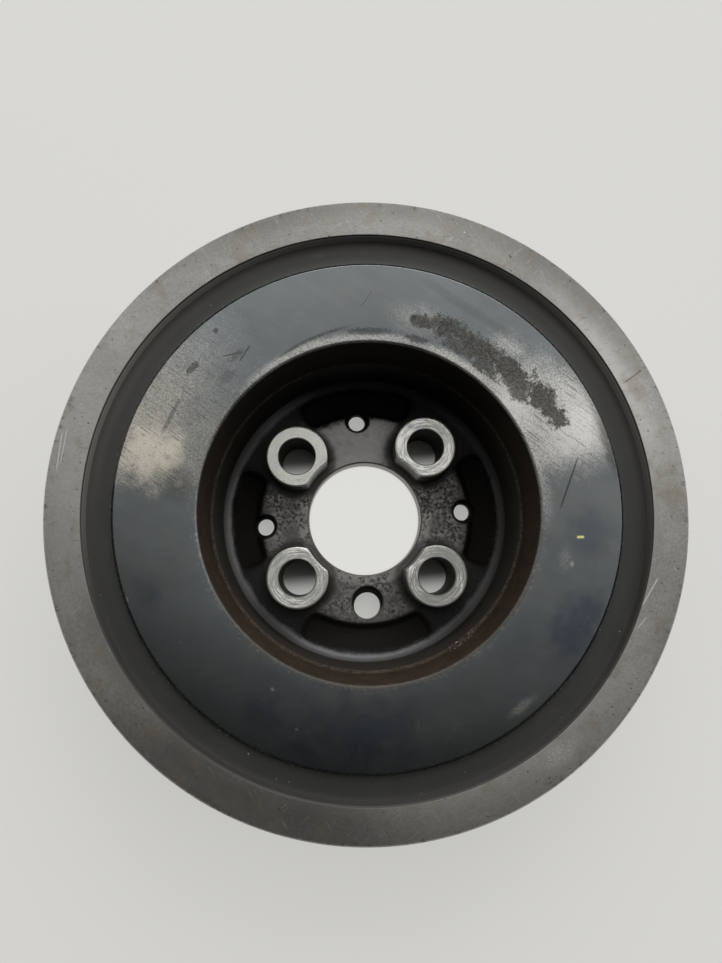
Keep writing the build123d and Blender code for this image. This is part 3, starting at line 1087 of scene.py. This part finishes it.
def back_finish(settings):
    """The machined seat is grey with some rust, and the rest of the back keeps its coat."""
    skin = Skin("coated_back")
    grain, blotches = skin.grain, skin.blotches
    seat_radius = settings.seat_radius / MM
    coat = skin.mixed(skin.rise(blotches, 0.5, 0.68), BACK_COAT, BACK_RUST)
    skin.start(coat, metallic=0.0, roughness=0.62, height=grain * 0.9)
    seat = skin.fall(skin.radius, seat_radius - 0.1, seat_radius + 0.1)
    seat = seat * skin.fall(skin.z, 0.05, 0.25)
    circles = skin.noise(skin.turned(2.5, 5.0), 1.0, 3.0)
    tone = skin.rise(circles * 0.5 + blotches * 0.5, 0.4, 0.6)
    skin.cover(seat, skin.mixed(tone, SEAT_DARK, SEAT_PALE), metallic=0.85, roughness=0.40)
    rusty = seat * skin.rise(blotches * 0.7 + grain * 0.3, 0.54, 0.64)
    skin.cover(rusty * 0.7, SEAT_RUST, metallic=0.2, roughness=0.65)
    skin.height = skin.height + (circles * 0.3 - grain * 0.8) * seat
    return skin.finish(HUB_BUMP, specular=HUB_SPECULAR)


# Finish of the floor

BORE_GLOW = 0.96
GLOW_LOST_BELOW = 0.25


def floor_finish(settings, hub):
    """A plain pale floor that eyes and mirrors see brighter than the lamps make it.

    Under the pulley it glows less, a painted shadow, and least in the painted shade of the bolt holes;
    inside the bore it glows more, a painted pool of light.
    """
    skin = Skin("pale_floor")
    bore = hub.bore_radius / MM
    under = skin.band(skin.radius, 20.0, 60.0, 0.8)
    shade = []
    for turn in BOLT_ANGLES:
        _, along, distance = from_boss(skin, hub, turn)
        shade.append(skin.rise(along, -6.0, 1.5) * skin.fall(distance, 10.0, 12.0))
    glow = settings.floor_glow * (1 - under * GLOW_LOST_BELOW) * (1 - skin.either(*shade) * under)
    # Painted light: the floor glows brighter inside the bore
    in_bore = skin.fall(skin.radius, bore - 0.85, bore + 1.15)
    glow = glow + in_bore * (BORE_GLOW - settings.floor_glow)
    lit = skin.node("ShaderNodeBsdfDiffuse", None, {"Color": skin.paint(settings.floor_colour)})
    own = skin.node("ShaderNodeEmission", None, {"Color": skin.paint(settings.floor_colour)})
    path = skin.node("ShaderNodeLightPath", output="Is Camera Ray")
    seen = skin.either(path, path.out("Is Glossy Ray"), path.out("Is Transmission Ray"))
    mixed = skin.node("ShaderNodeMixShader", None, {0: seen * glow, 1: lit, 2: own})
    skin.node("ShaderNodeOutputMaterial", None, {"Surface": mixed})
    return skin.material


# Geometry Nodes

JOIN_DISTANCE = 0.01 * MM


class ShapeTree(Graph):
    """A Geometry Nodes tree with named inputs."""

    def __init__(self, name, inputs):
        tree = bpy.data.node_groups.new(name, "GeometryNodeTree")
        super().__init__(tree)
        tree.interface.new_socket("Geometry", in_out="INPUT", socket_type="NodeSocketGeometry")
        for label, kind in inputs.items():
            tree.interface.new_socket(label, in_out="INPUT", socket_type=kind)
        tree.interface.new_socket("Geometry", in_out="OUTPUT", socket_type="NodeSocketGeometry")
        self.given = self.node("NodeGroupInput")

    def end(self, geometry):
        """Realizes the result, gives it its material and returns the tree."""
        real = self.node("GeometryNodeRealizeInstances", None, {0: geometry})
        material = self.given.out("Material")
        painted = self.node("GeometryNodeSetMaterial", None, {"Geometry": real, "Material": material})
        self.node("NodeGroupOutput", None, {0: painted})
        return self.tree


def turned_tree():
    """Turns an outline in the XZ plane about Z."""
    graph = ShapeTree(
        "Turned section",
        {"Segments": "NodeSocketInt", "Path radius": "NodeSocketFloat", "Material": "NodeSocketMaterial"},
    )
    outline = graph.node("GeometryNodeMeshToCurve", None, {0: graph.given})
    split = graph.node("ShaderNodeSeparateXYZ", None, {0: graph.node("GeometryNodeInputPosition")})
    path_radius = graph.given.out("Path radius")
    flat = graph.combined(split - path_radius, 0 - split.out("Z"), 0.0)
    section = graph.node("GeometryNodeSetPosition", None, {"Geometry": outline, "Position": flat})
    path = graph.node(
        "GeometryNodeCurvePrimitiveCircle",
        None,
        {"Resolution": graph.given.out("Segments"), "Radius": path_radius},
    )
    swept = graph.node("GeometryNodeCurveToMesh", None, {"Curve": path, "Profile Curve": section})
    return graph.end(swept)


def grooved_tree(turned):
    """Adds two sets of V grooves to an open outline, and turns it about Z."""
    lengths = (
        "Crest radius", "Pitch", "Depth", "Crest width", "Crest rounding", "Root rounding",
        "Flank tangent", "Front start", "Back start", "Path radius",
    )
    inputs = {name: "NodeSocketFloat" for name in lengths}
    inputs.update({"Front grooves": "NodeSocketInt", "Back grooves": "NodeSocketInt"})
    inputs.update({"Steps": "NodeSocketInt", "Segments": "NodeSocketInt", "Material": "NodeSocketMaterial"})
    graph = ShapeTree("Belt grooves", inputs)
    given = graph.given.out
    pitch = given("Pitch")

    # One groove: a line of points along Z, sunk by the groove's rule
    line = graph.node(
        "GeometryNodeMeshLine",
        {"mode": "END_POINTS"},
        {
            "Count": given("Steps"),
            "Start Location": graph.combined(given("Crest radius"), 0.0, pitch * 0.5),
            "Offset": graph.combined(given("Crest radius"), 0.0, pitch * -0.5),
        },
    )
    split = graph.node("ShaderNodeSeparateXYZ", None, {0: graph.node("GeometryNodeInputPosition")})
    mouth_half = (pitch - given("Crest width")) * 0.5
    flank = (mouth_half - abs(split.out("Z"))) / given("Flank tangent")
    sunk = graph.maths("SMOOTH_MAX", flank, 0.0, given("Crest rounding"))
    sunk = graph.maths("SMOOTH_MIN", sunk, given("Depth"), given("Root rounding"))
    groove = graph.node(
        "GeometryNodeSetPosition",
        None,
        {"Geometry": line, "Offset": graph.combined(0 - sunk, 0.0, 0.0)},
    )

    strands = [graph.given]
    for side in ("Front", "Back"):
        centres = graph.node(
            "GeometryNodeMeshLine",
            {"mode": "OFFSET"},
            {
                "Count": given(side + " grooves"),
                "Start Location": graph.combined(0.0, 0.0, given(side + " start") - pitch * 0.5),
                "Offset": graph.combined(0.0, 0.0, 0 - pitch),
            },
        )
        copies = graph.node("GeometryNodeInstanceOnPoints", None, {"Points": centres, "Instance": groove})
        strands.append(graph.node("GeometryNodeRealizeInstances", None, {0: copies}))
    joined = graph.node("GeometryNodeJoinGeometry", None, {0: strands})
    whole = graph.node(
        "GeometryNodeMergeByDistance", None, {"Geometry": joined, "Distance": JOIN_DISTANCE}
    )
    values = {name: given(name) for name in ("Segments", "Path radius", "Material")}
    return graph.end(graph.node("GeometryNodeGroup", {"node_tree": turned}, {0: whole, **values}))


def shaped(name, outline, tree, values):
    """A plain mesh object that a tree makes from an outline."""
    start = add_object(name, outline)
    modifier = start.modifiers.new("shape", "NODES")
    modifier.node_group = tree
    for item in tree.interface.items_tree:
        if item.in_out == "INPUT" and item.name in values:
            modifier[item.identifier] = values[item.name]
    graph = bpy.context.evaluated_depsgraph_get()
    made = bpy.data.meshes.new_from_object(start.evaluated_get(graph), depsgraph=graph)
    start.modifiers.remove(modifier)
    start.data = made
    made.name = name
    return start


# Outlines and meshes

SAME_PLACE = 0.0005 * MM
BREAK_EDGE = 0.35 * MM
BEYOND = 2.0 * MM
CLEAR = 0.01 * MM
TOOL_SHARP = 32.0


def round_corners(corners, steps):
    """Outline points from corners, each an x, a z and a rounding. A rounding of 0 stays sharp."""
    points = []
    count = len(corners)
    for index, (*here, rounding) in enumerate(corners):
        here = Vector(here)
        before = Vector(corners[index - 1][:2]) - here
        after = Vector(corners[(index + 1) % count][:2]) - here
        if not rounding:
            points.append(here)
            continue
        before.normalize()
        after.normalize()
        half = before.angle(after) / 2
        centre = here + (before + after).normalized() * (rounding / math.sin(half))
        start = here + before * (rounding / math.tan(half)) - centre
        sweep = math.copysign(math.pi - 2 * half, after.cross(before))
        for step in range(steps + 1):
            turn = sweep * step / steps
            cosine, sine = math.cos(turn), math.sin(turn)
            x, z = start.x * cosine - start.y * sine, start.x * sine + start.y * cosine
            points.append(centre + Vector((x, z)))
    return points


def outline_mesh(strands, closed):
    """Edges in the XZ plane along one or more strands of points."""
    mesh = bpy.data.meshes.new("outline")
    vertices, edges = [], []
    for strand in strands:
        first = len(vertices)
        vertices += [(point[0], 0.0, point[1]) for point in strand]
        edges += [(first + step, first + step + 1) for step in range(len(strand) - 1)]
        if closed:
            edges.append((len(vertices) - 1, first))
    mesh.from_pydata(vertices, edges, [])
    return mesh


def add_object(name, mesh):
    """A new object in the scene."""
    made = bpy.data.objects.new(name, mesh)
    bpy.context.scene.collection.objects.link(made)
    return made


def tidy_faces(mesh, sharp_degrees=TOOL_SHARP):
    """Merges doubles, points the faces outwards and shades them smooth up to an angle."""
    work = bmesh.new()
    work.from_mesh(mesh)
    bmesh.ops.remove_doubles(work, verts=work.verts, dist=SAME_PLACE)
    bmesh.ops.recalc_face_normals(work, faces=work.faces)
    work.to_mesh(mesh)
    work.free()
    mesh.shade_smooth()
    mesh.set_sharp_from_angle(angle=math.radians(sharp_degrees))


def loops_mesh(name, columns):
    """One mesh of closed shells, each a list of loops from its foot to its head."""
    mesh = bpy.data.meshes.new(name)
    vertices, faces = [], []
    for loops in columns:
        first, count = len(vertices), len(loops[0])
        for loop in loops:
            vertices += loop
        for level in range(len(loops) - 1):
            for step in range(count):
                near = first + level * count + step
                side = first + level * count + (step + 1) % count
                faces.append((near, side, side + count, near + count))
        faces.append(tuple(range(first + count - 1, first - 1, -1)))
        last = first + (len(loops) - 1) * count
        faces.append(tuple(range(last, last + count)))
    mesh.from_pydata(vertices, [], faces)
    tidy_faces(mesh)
    return mesh


def circle_loop(centre, radius, height, steps=72):
    """Points round a circle."""
    turns = (360 * step / steps for step in range(steps))
    return [(*(centre + polar(radius, turn)), height) for turn in turns]


def round_column(centre, levels):
    """A turned column from heights and radii, foot first."""
    return [circle_loop(centre, radius, height) for height, radius in levels]


def boss_loop(settings, turn, grow, height, steps=120, blend=0.35 * MM):
    """A boss's outline: a circle cut by the turning about the bore, with its corners eased."""
    pitch = settings.boss_pitch_radius
    radius = settings.boss_radius + grow
    cut = settings.boss_relief_radius - grow
    centre = polar(pitch, turn)
    points = []
    for step in range(steps):
        heading = 360 * step / steps
        toward_axis = -pitch * math.cos(math.radians(heading - turn))
        reach = toward_axis**2 - (pitch**2 - cut**2)
        far = radius
        if reach > 0 and toward_axis > 0:
            to_cut = toward_axis - math.sqrt(reach)
            far = smooth_least(radius, to_cut, blend)
        points.append((*(centre + polar(far, heading)), height))
    return points


def smooth_least(first, second, blend):
    """The lower of two values, eased where they meet."""
    share = max(blend - abs(first - second), 0.0) / blend
    return min(first, second) - share**2 * blend / 4


def boss_column(settings, turn, fillet=1.2 * MM, edge=0.5 * MM, sunk=1.0 * MM, steps=6):
    """One boss, from inside the flange up to its worn edge, which turns in two steps."""
    foot, top = settings.flange + CLEAR, settings.boss_top
    levels = [(fillet, settings.flange - sunk)]
    for step in range(steps + 1):
        lift = math.radians(90 * step / steps)
        levels.append((fillet * (1 - math.sin(lift)), foot + fillet * (1 - math.cos(lift))))
    levels += [(0.0, top - edge), (-0.25 * edge, top - 0.35 * edge), (-edge, top)]
    return [boss_loop(settings, turn, grow, height) for grow, height in levels]


def pocket_loop(settings, start, sweep, inset, height, corner=2.4 * MM, steps=5, side_steps=14):
    """A pocket's outline: a strip bent round the axis, with round corners.

    Its outer side spreads less than the others, because the cup's wall is near.
    """
    most_spread = 0.4 * MM
    inner, outer = settings.pocket_inner_radius, settings.pocket_outer_radius
    middle = (inner + outer) / 2
    reach = sweep * middle
    rounding = corner - inset
    low, high = inset, reach - inset
    brim = outer - max(inset, -most_spread)
    corners = [
        (low, inner + inset, rounding),
        (high, inner + inset, rounding),
        (high, brim, rounding),
        (low, brim, rounding),
    ]
    rounded = round_corners(corners, steps)
    points = []
    for index, point in enumerate(rounded):
        ahead = rounded[(index + 1) % len(rounded)]
        parts = side_steps if index % (steps + 1) == steps else 1
        points += [point.lerp(ahead, part / parts) for part in range(parts)]
    bent = (polar(point.y, math.degrees(start + point.x / middle)) for point in points)
    return [(*point, height) for point in bent]


def pocket_columns(settings, inside=1.0 * MM, outside=2.0 * MM, over=0.15 * MM, steps=9):
    """Cutters for the pockets between the lands, with sides that ramp softly to the floor."""
    columns = []
    floor, rise = settings.flange - settings.pocket_depth, settings.pocket_depth + over
    top = settings.flange + 1.5 * MM
    for turn, next_turn in pocket_sides():
        start = math.radians(turn) + settings.land_half_angle
        sweep = math.radians(next_turn) - settings.land_half_angle - start
        levels = []
        for step in range(steps + 1):
            share = step / steps
            inset = inside - (inside + outside) * share
            levels.append((inset, floor + rise * share**2 * (3 - 2 * share)))
        levels.append((-outside, top))
        columns.append([pocket_loop(settings, start, sweep, *level) for level in levels])
    return columns


def edged_levels(foot, face, radius):
    """A round cutter from its foot to beyond a face, which it opens with a broken edge."""
    widest = radius + BREAK_EDGE + BEYOND
    return [(foot, radius), (face - BREAK_EDGE, radius), (face + BEYOND, widest)]


def hole_columns(settings, edge_width=0.2 * MM, edge_depth=0.1 * MM, step=0.02 * MM):
    """Cutters for the bolt, puller and locating holes."""
    s = settings
    bolt = [
        (-BEYOND, s.bolt_hole_radius),
        (s.boss_top - BREAK_EDGE, s.bolt_hole_radius),
        (s.boss_top - edge_depth, s.bolt_hole_radius + edge_width),
        (s.boss_top + BEYOND, s.bolt_hole_radius + edge_width + BEYOND),
    ]
    ledge = s.flange - s.puller_mouth_depth
    puller = [(-BEYOND, s.puller_radius), (ledge, s.puller_radius)]
    puller += edged_levels(ledge + step, s.flange, s.puller_mouth_radius)
    columns = [round_column(polar(s.boss_pitch_radius, turn), bolt) for turn in BOLT_ANGLES]
    columns += [round_column(polar(s.puller_pitch_radius, turn), puller) for turn in PULLER_ANGLES]
    centre = polar(s.locating_pitch_radius, math.degrees(s.locating_angle))
    return columns + [round_column(centre, edged_levels(-BEYOND, s.flange, s.locating_radius))]


def locating_mouth(settings):
    """Cutter for the locating hole's wider mouth, which lies nearer to the bore."""
    s = settings
    floor = s.flange - s.locating_mouth_depth
    centre = polar(s.locating_pitch_radius - s.locating_mouth_shift, math.degrees(s.locating_angle))
    return [round_column(centre, edged_levels(floor, s.flange, s.locating_mouth_radius))]


def combine(piece, mesh, operation):
    """Joins a mesh to a piece, or cuts it out of the piece."""
    tool = add_object("tool", mesh)
    modifier = piece.modifiers.new("combine", "BOOLEAN")
    modifier.operation = operation
    modifier.solver = "EXACT"
    modifier.object = tool
    graph = bpy.context.evaluated_depsgraph_get()
    made = bpy.data.meshes.new_from_object(piece.evaluated_get(graph), depsgraph=graph)
    piece.modifiers.remove(modifier)
    piece.data = made
    bpy.data.objects.remove(tool)


# Pieces

RING_SHARP = 24.0
RUBBER_SHARP = 50.0
HUB_SHARP = 19.0


def ring_outline(settings, steps=3):
    """The ring without its grooves: the ends and bore, and the land between the two belts."""
    outer, inner = settings.outer_radius, settings.inner_radius
    crest = outer - settings.lip_height
    front_start = settings.front - settings.end_lip - settings.lip_slope
    back_end = settings.back + settings.end_lip + settings.lip_slope
    half_crest = settings.crest_width / 2
    front_end = front_start - settings.front_grooves * settings.groove_pitch - 2 * half_crest
    back_start = back_end + settings.back_grooves * settings.groove_pitch + 2 * half_crest
    easing, chamfer, inner_chamfer = 0.25 * MM, 0.8 * MM, 0.5 * MM
    ends = [
        (crest, front_start - half_crest, 0.0),
        (crest, front_start, easing),
        (outer, front_start + settings.lip_slope, easing),
        (outer, settings.front - chamfer, easing),
        (outer - chamfer, settings.front, easing),
        (inner + inner_chamfer, settings.front, easing),
        (inner, settings.front - inner_chamfer, easing),
        (inner, settings.back + inner_chamfer, easing),
        (inner + inner_chamfer, settings.back, easing),
        (outer - chamfer, settings.back, easing),
        (outer, settings.back + chamfer, easing),
        (outer, back_end - settings.lip_slope, easing),
        (crest, back_end, easing),
        (crest, back_end + half_crest, 0.0),
    ]
    land = [
        (crest, back_start - half_crest, 0.0),
        (crest, back_start, easing),
        (outer, back_start + settings.lip_slope, easing),
        (outer, front_end - settings.lip_slope, easing),
        (crest, front_end, easing),
        (crest, front_end + half_crest, 0.0),
    ]
    return [round_corners(ends, steps), round_corners(land, steps)]


def rubber_outline(settings):
    """The rubber's section, with hollow ends and lips that cling to the iron."""
    inner, outer = settings.inner_radius, settings.outer_radius
    middle, half = (inner + outer) / 2, (outer - inner) / 2

    def end(height, sign, steps=18):
        points = []
        for step in range(steps + 1):
            share = -1 + 2 * step / steps
            sink = settings.dish * (1 - share**4)
            points.append((middle + half * share, height - sign * sink))
        return points

    return [end(settings.front, 1)[::-1] + end(settings.back, -1)]


def hub_outline(settings, bore_edge=0.5 * MM, steps=7):
    """The hub's turned section before its pockets, bosses and holes."""
    s = settings
    channel_top = s.front - s.plate_thickness
    corners = [
        (s.bore_radius, bore_edge, 0.0),
        (s.bore_radius + bore_edge, 0.0, 0.0),
        (s.seat_radius, 0.0, 0.2 * MM),
        (s.seat_radius, s.seat_height, 0.3 * MM),
        (s.channel_inner_radius, s.seat_height, 0.6 * MM),
        (s.channel_inner_radius + s.channel_draft, channel_top, 4.0 * MM),
        (s.channel_outer_radius - s.channel_draft, channel_top, 4.0 * MM),
        (s.channel_outer_radius, s.rim_back, 0.5 * MM),
        (s.rim_radius - s.plate_edge, s.rim_back, 0.2 * MM),
        (s.rim_radius, s.rim_back + s.plate_edge, 0.2 * MM),
        (s.rim_radius, s.front - s.plate_edge, 0.3 * MM),
        (s.rim_radius - s.plate_edge, s.front, 0.4 * MM),
        (s.mouth_radius, s.front, 1.0 * MM),
        (s.ledge_outer_radius, s.ledge_height, 0.3 * MM),
        (s.ledge_inner_radius, s.ledge_height, 0.25 * MM),
        (s.floor_radius, s.flange, s.floor_rounding),
        (s.bore_radius + bore_edge, s.flange, 0.15 * MM),
        (s.bore_radius, s.flange - bore_edge, 0.15 * MM),
    ]
    return [round_corners(corners, steps)]


def sort_faces(mesh, settings, skin_depth=1.0 * MM, wall=1.5 * MM, step_width=0.5 * MM):
    """Numbers each face by its finish: 0 the plate, 1 the cup's wall, 2 the flange, 3 the back."""
    s = settings
    for face in mesh.polygons:
        height, radius = face.center.z, face.center.xy.length
        faces_back = face.normal.z < -0.5
        beside_seat = height < s.seat_height and radius > s.seat_radius - step_width
        if height > s.front - skin_depth:
            face.material_index = 0
        elif radius > s.channel_inner_radius - wall or faces_back or beside_seat:
            face.material_index = 3
        elif height > s.flange + s.floor_rounding and radius > s.pocket_outer_radius:
            face.material_index = 1
        else:
            face.material_index = 2


def groove_values(settings):
    """What the tree of the belt grooves is given."""
    s = settings
    beside = s.end_lip + s.lip_slope + s.crest_width / 2
    return {
        "Crest radius": s.outer_radius - s.lip_height,
        "Pitch": s.groove_pitch,
        "Depth": s.groove_depth,
        "Crest width": s.crest_width,
        "Crest rounding": s.crest_rounding,
        "Root rounding": s.root_rounding,
        "Flank tangent": math.tan(s.groove_angle / 2),
        "Front start": s.front - beside,
        "Back start": s.back + beside + s.back_grooves * s.groove_pitch,
        "Front grooves": s.front_grooves,
        "Back grooves": s.back_grooves,
        "Steps": s.groove_steps,
        **turning_values(s),
    }


def turning_values(settings):
    """What every tree that turns an outline is given, besides its material."""
    return {"Segments": settings.segments, "Path radius": settings.inner_radius}


def check_built(piece):
    """Stops the build if a piece has no faces."""
    if not piece.data.polygons:
        raise RuntimeError(piece.name + " came out empty")


def hand_over(piece, node):
    """The piece stands for its CAD node, on the pulley's one body."""
    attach(piece, "root")
    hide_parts(node)


class PULLEY_OT_ring(bpy.types.Operator):
    """Build the ribbed outer ring"""

    bl_idname = "pulley.ring"
    bl_label = "Outer ring"

    def execute(self, context):
        s = context.scene.pulley_ring
        values = {**groove_values(s), "Material": ring_finish(s)}
        outline = outline_mesh(ring_outline(s), False)
        piece = shaped("outer_ring", outline, grooved_tree(turned_tree()), values)
        check_built(piece)
        tidy_faces(piece.data, RING_SHARP)
        hand_over(piece, "pulley_ring")
        return {"FINISHED"}


class PULLEY_OT_rubber(bpy.types.Operator):
    """Build the rubber ring"""

    bl_idname = "pulley.rubber"
    bl_label = "Rubber ring"

    def execute(self, context):
        s = context.scene.pulley_rubber
        values = {**turning_values(s), "Material": rubber_finish(s)}
        outline = outline_mesh(rubber_outline(s), True)
        piece = shaped("rubber_damper", outline, turned_tree(), values)
        check_built(piece)
        tidy_faces(piece.data, RUBBER_SHARP)
        hand_over(piece, "rubber_ring")
        return {"FINISHED"}


class PULLEY_OT_hub(bpy.types.Operator):
    """Build the hub with its pockets, bosses and holes"""

    bl_idname = "pulley.hub"
    bl_label = "Hub"

    def execute(self, context):
        s = context.scene.pulley_hub
        finishes = hub_finishes(s)
        values = {"Segments": s.segments, "Path radius": s.bore_radius, "Material": finishes[0]}
        piece = shaped("iron_hub", outline_mesh(hub_outline(s), True), turned_tree(), values)
        tidy_faces(piece.data)
        bosses = [boss_column(s, turn) for turn in BOLT_ANGLES]
        combine(piece, loops_mesh("pockets", pocket_columns(s)), "DIFFERENCE")
        combine(piece, loops_mesh("bosses", bosses), "UNION")
        combine(piece, loops_mesh("holes", hole_columns(s)), "DIFFERENCE")
        combine(piece, loops_mesh("mouth", locating_mouth(s)), "DIFFERENCE")
        check_built(piece)
        piece.data.name = "iron_hub"
        tidy_faces(piece.data, HUB_SHARP)
        piece.data.materials.clear()
        for finish in finishes:
            piece.data.materials.append(finish)
        sort_faces(piece.data, s)
        hand_over(piece, "hub")
        return {"FINISHED"}


# Stage


def add_camera(settings):
    """The camera, with its place, turn and lens."""
    lens = bpy.data.cameras.new("camera")
    lens.sensor_width = SENSOR_WIDTH
    lens.lens = settings.lens
    lens.clip_start = CLIP_START
    camera = add_object("camera", lens)
    camera.location = settings.camera_place
    camera.rotation_euler = settings.camera_turn
    return camera


def add_floor(settings, hub):
    """The floor, which is no part of the pulley."""
    half = settings.floor_size / 2
    mesh = bpy.data.meshes.new("floor")
    corners = [(-half, -half, 0), (half, -half, 0), (half, half, 0), (-half, half, 0)]
    mesh.from_pydata(corners, [], [(0, 1, 2, 3)])
    mesh.materials.append(floor_finish(settings, hub))
    floor = add_object("floor", mesh)


def add_lamp(settings):
    """One large square lamp that points at the pulley."""
    lamp = bpy.data.lights.new("key", "AREA")
    lamp.shape = "SQUARE"
    lamp.size = settings.key_size
    lamp.energy = settings.key_power
    key = add_object("key", lamp)
    key.location = settings.key_place
    key.rotation_euler = (-Vector(settings.key_place)).to_track_quat("-Z", "Y").to_euler()


def studio_world(settings):
    """Light from all round, bright on one side. The camera sees the floor's colour instead."""
    world = bpy.data.worlds.new("studio")
    world.use_nodes = True
    world.node_tree.nodes.clear()
    graph = Graph(world.node_tree)
    heading = (math.cos(settings.sky_heading), math.sin(settings.sky_heading), 0.0)
    direction = graph.node("ShaderNodeTexCoord", output="Generated")
    toward = graph.vector("DOT_PRODUCT", {0: direction, 1: heading}, "Value")
    sky = graph.mixed(graph.rise(toward, *SKY_EDGE), settings.sky_dark, settings.sky_bright)
    path = graph.node("ShaderNodeLightPath", output="Is Camera Ray")
    seen = graph.mixed(path, sky, settings.floor_colour)
    strength = settings.sky_strength + path * (1 - settings.sky_strength)
    light = graph.node("ShaderNodeBackground", None, {"Color": seen, "Strength": strength})
    graph.node("ShaderNodeOutputWorld", None, {"Surface": light})
    return world


class PULLEY_OT_stage(bpy.types.Operator):
    """Set the camera, the lamp, the floor and the light all round"""

    bl_idname = "pulley.stage"
    bl_label = "Stage"

    def execute(self, context):
        scene = context.scene
        s = scene.pulley_stage
        scene.camera = add_camera(s)
        add_floor(s, scene.pulley_hub)
        add_lamp(s)
        scene.world = studio_world(s)
        scene.view_settings.view_transform = "Standard"
        if scene.camera is None or scene.world is None:
            raise RuntimeError("the stage has no camera or no light all round")
        return {"FINISHED"}


# The add-on

OPERATORS = (PULLEY_OT_ring, PULLEY_OT_rubber, PULLEY_OT_hub, PULLEY_OT_stage)


class PULLEY_PT_parts(bpy.types.Panel):
    """Lists the pulley's pieces"""

    bl_idname = "PULLEY_PT_parts"
    bl_label = "Crankshaft pulley"
    bl_space_type = "VIEW_3D"
    bl_region_type = "UI"
    bl_category = "Pulley"

    def draw(self, context):
        for operator in OPERATORS:
            self.layout.operator(operator.bl_idname)


SETTINGS = {
    "pulley_ring": PulleyRingSettings,
    "pulley_rubber": RubberSettings,
    "pulley_hub": HubSettings,
    "pulley_stage": StageSettings,
}
CLASSES = (*SETTINGS.values(), *OPERATORS, PULLEY_PT_parts)


def register():
    for made in CLASSES:
        bpy.utils.register_class(made)
    for name, group in SETTINGS.items():
        setattr(bpy.types.Scene, name, bpy.props.PointerProperty(type=group))


def unregister():
    for name in SETTINGS:
        delattr(bpy.types.Scene, name)
    for made in reversed(CLASSES):
        bpy.utils.unregister_class(made)


def main():
    register()
    bpy.ops.pulley.stage()
    bpy.ops.pulley.ring()
    bpy.ops.pulley.rubber()
    bpy.ops.pulley.hub()


if __name__ == "__main__":
    main()
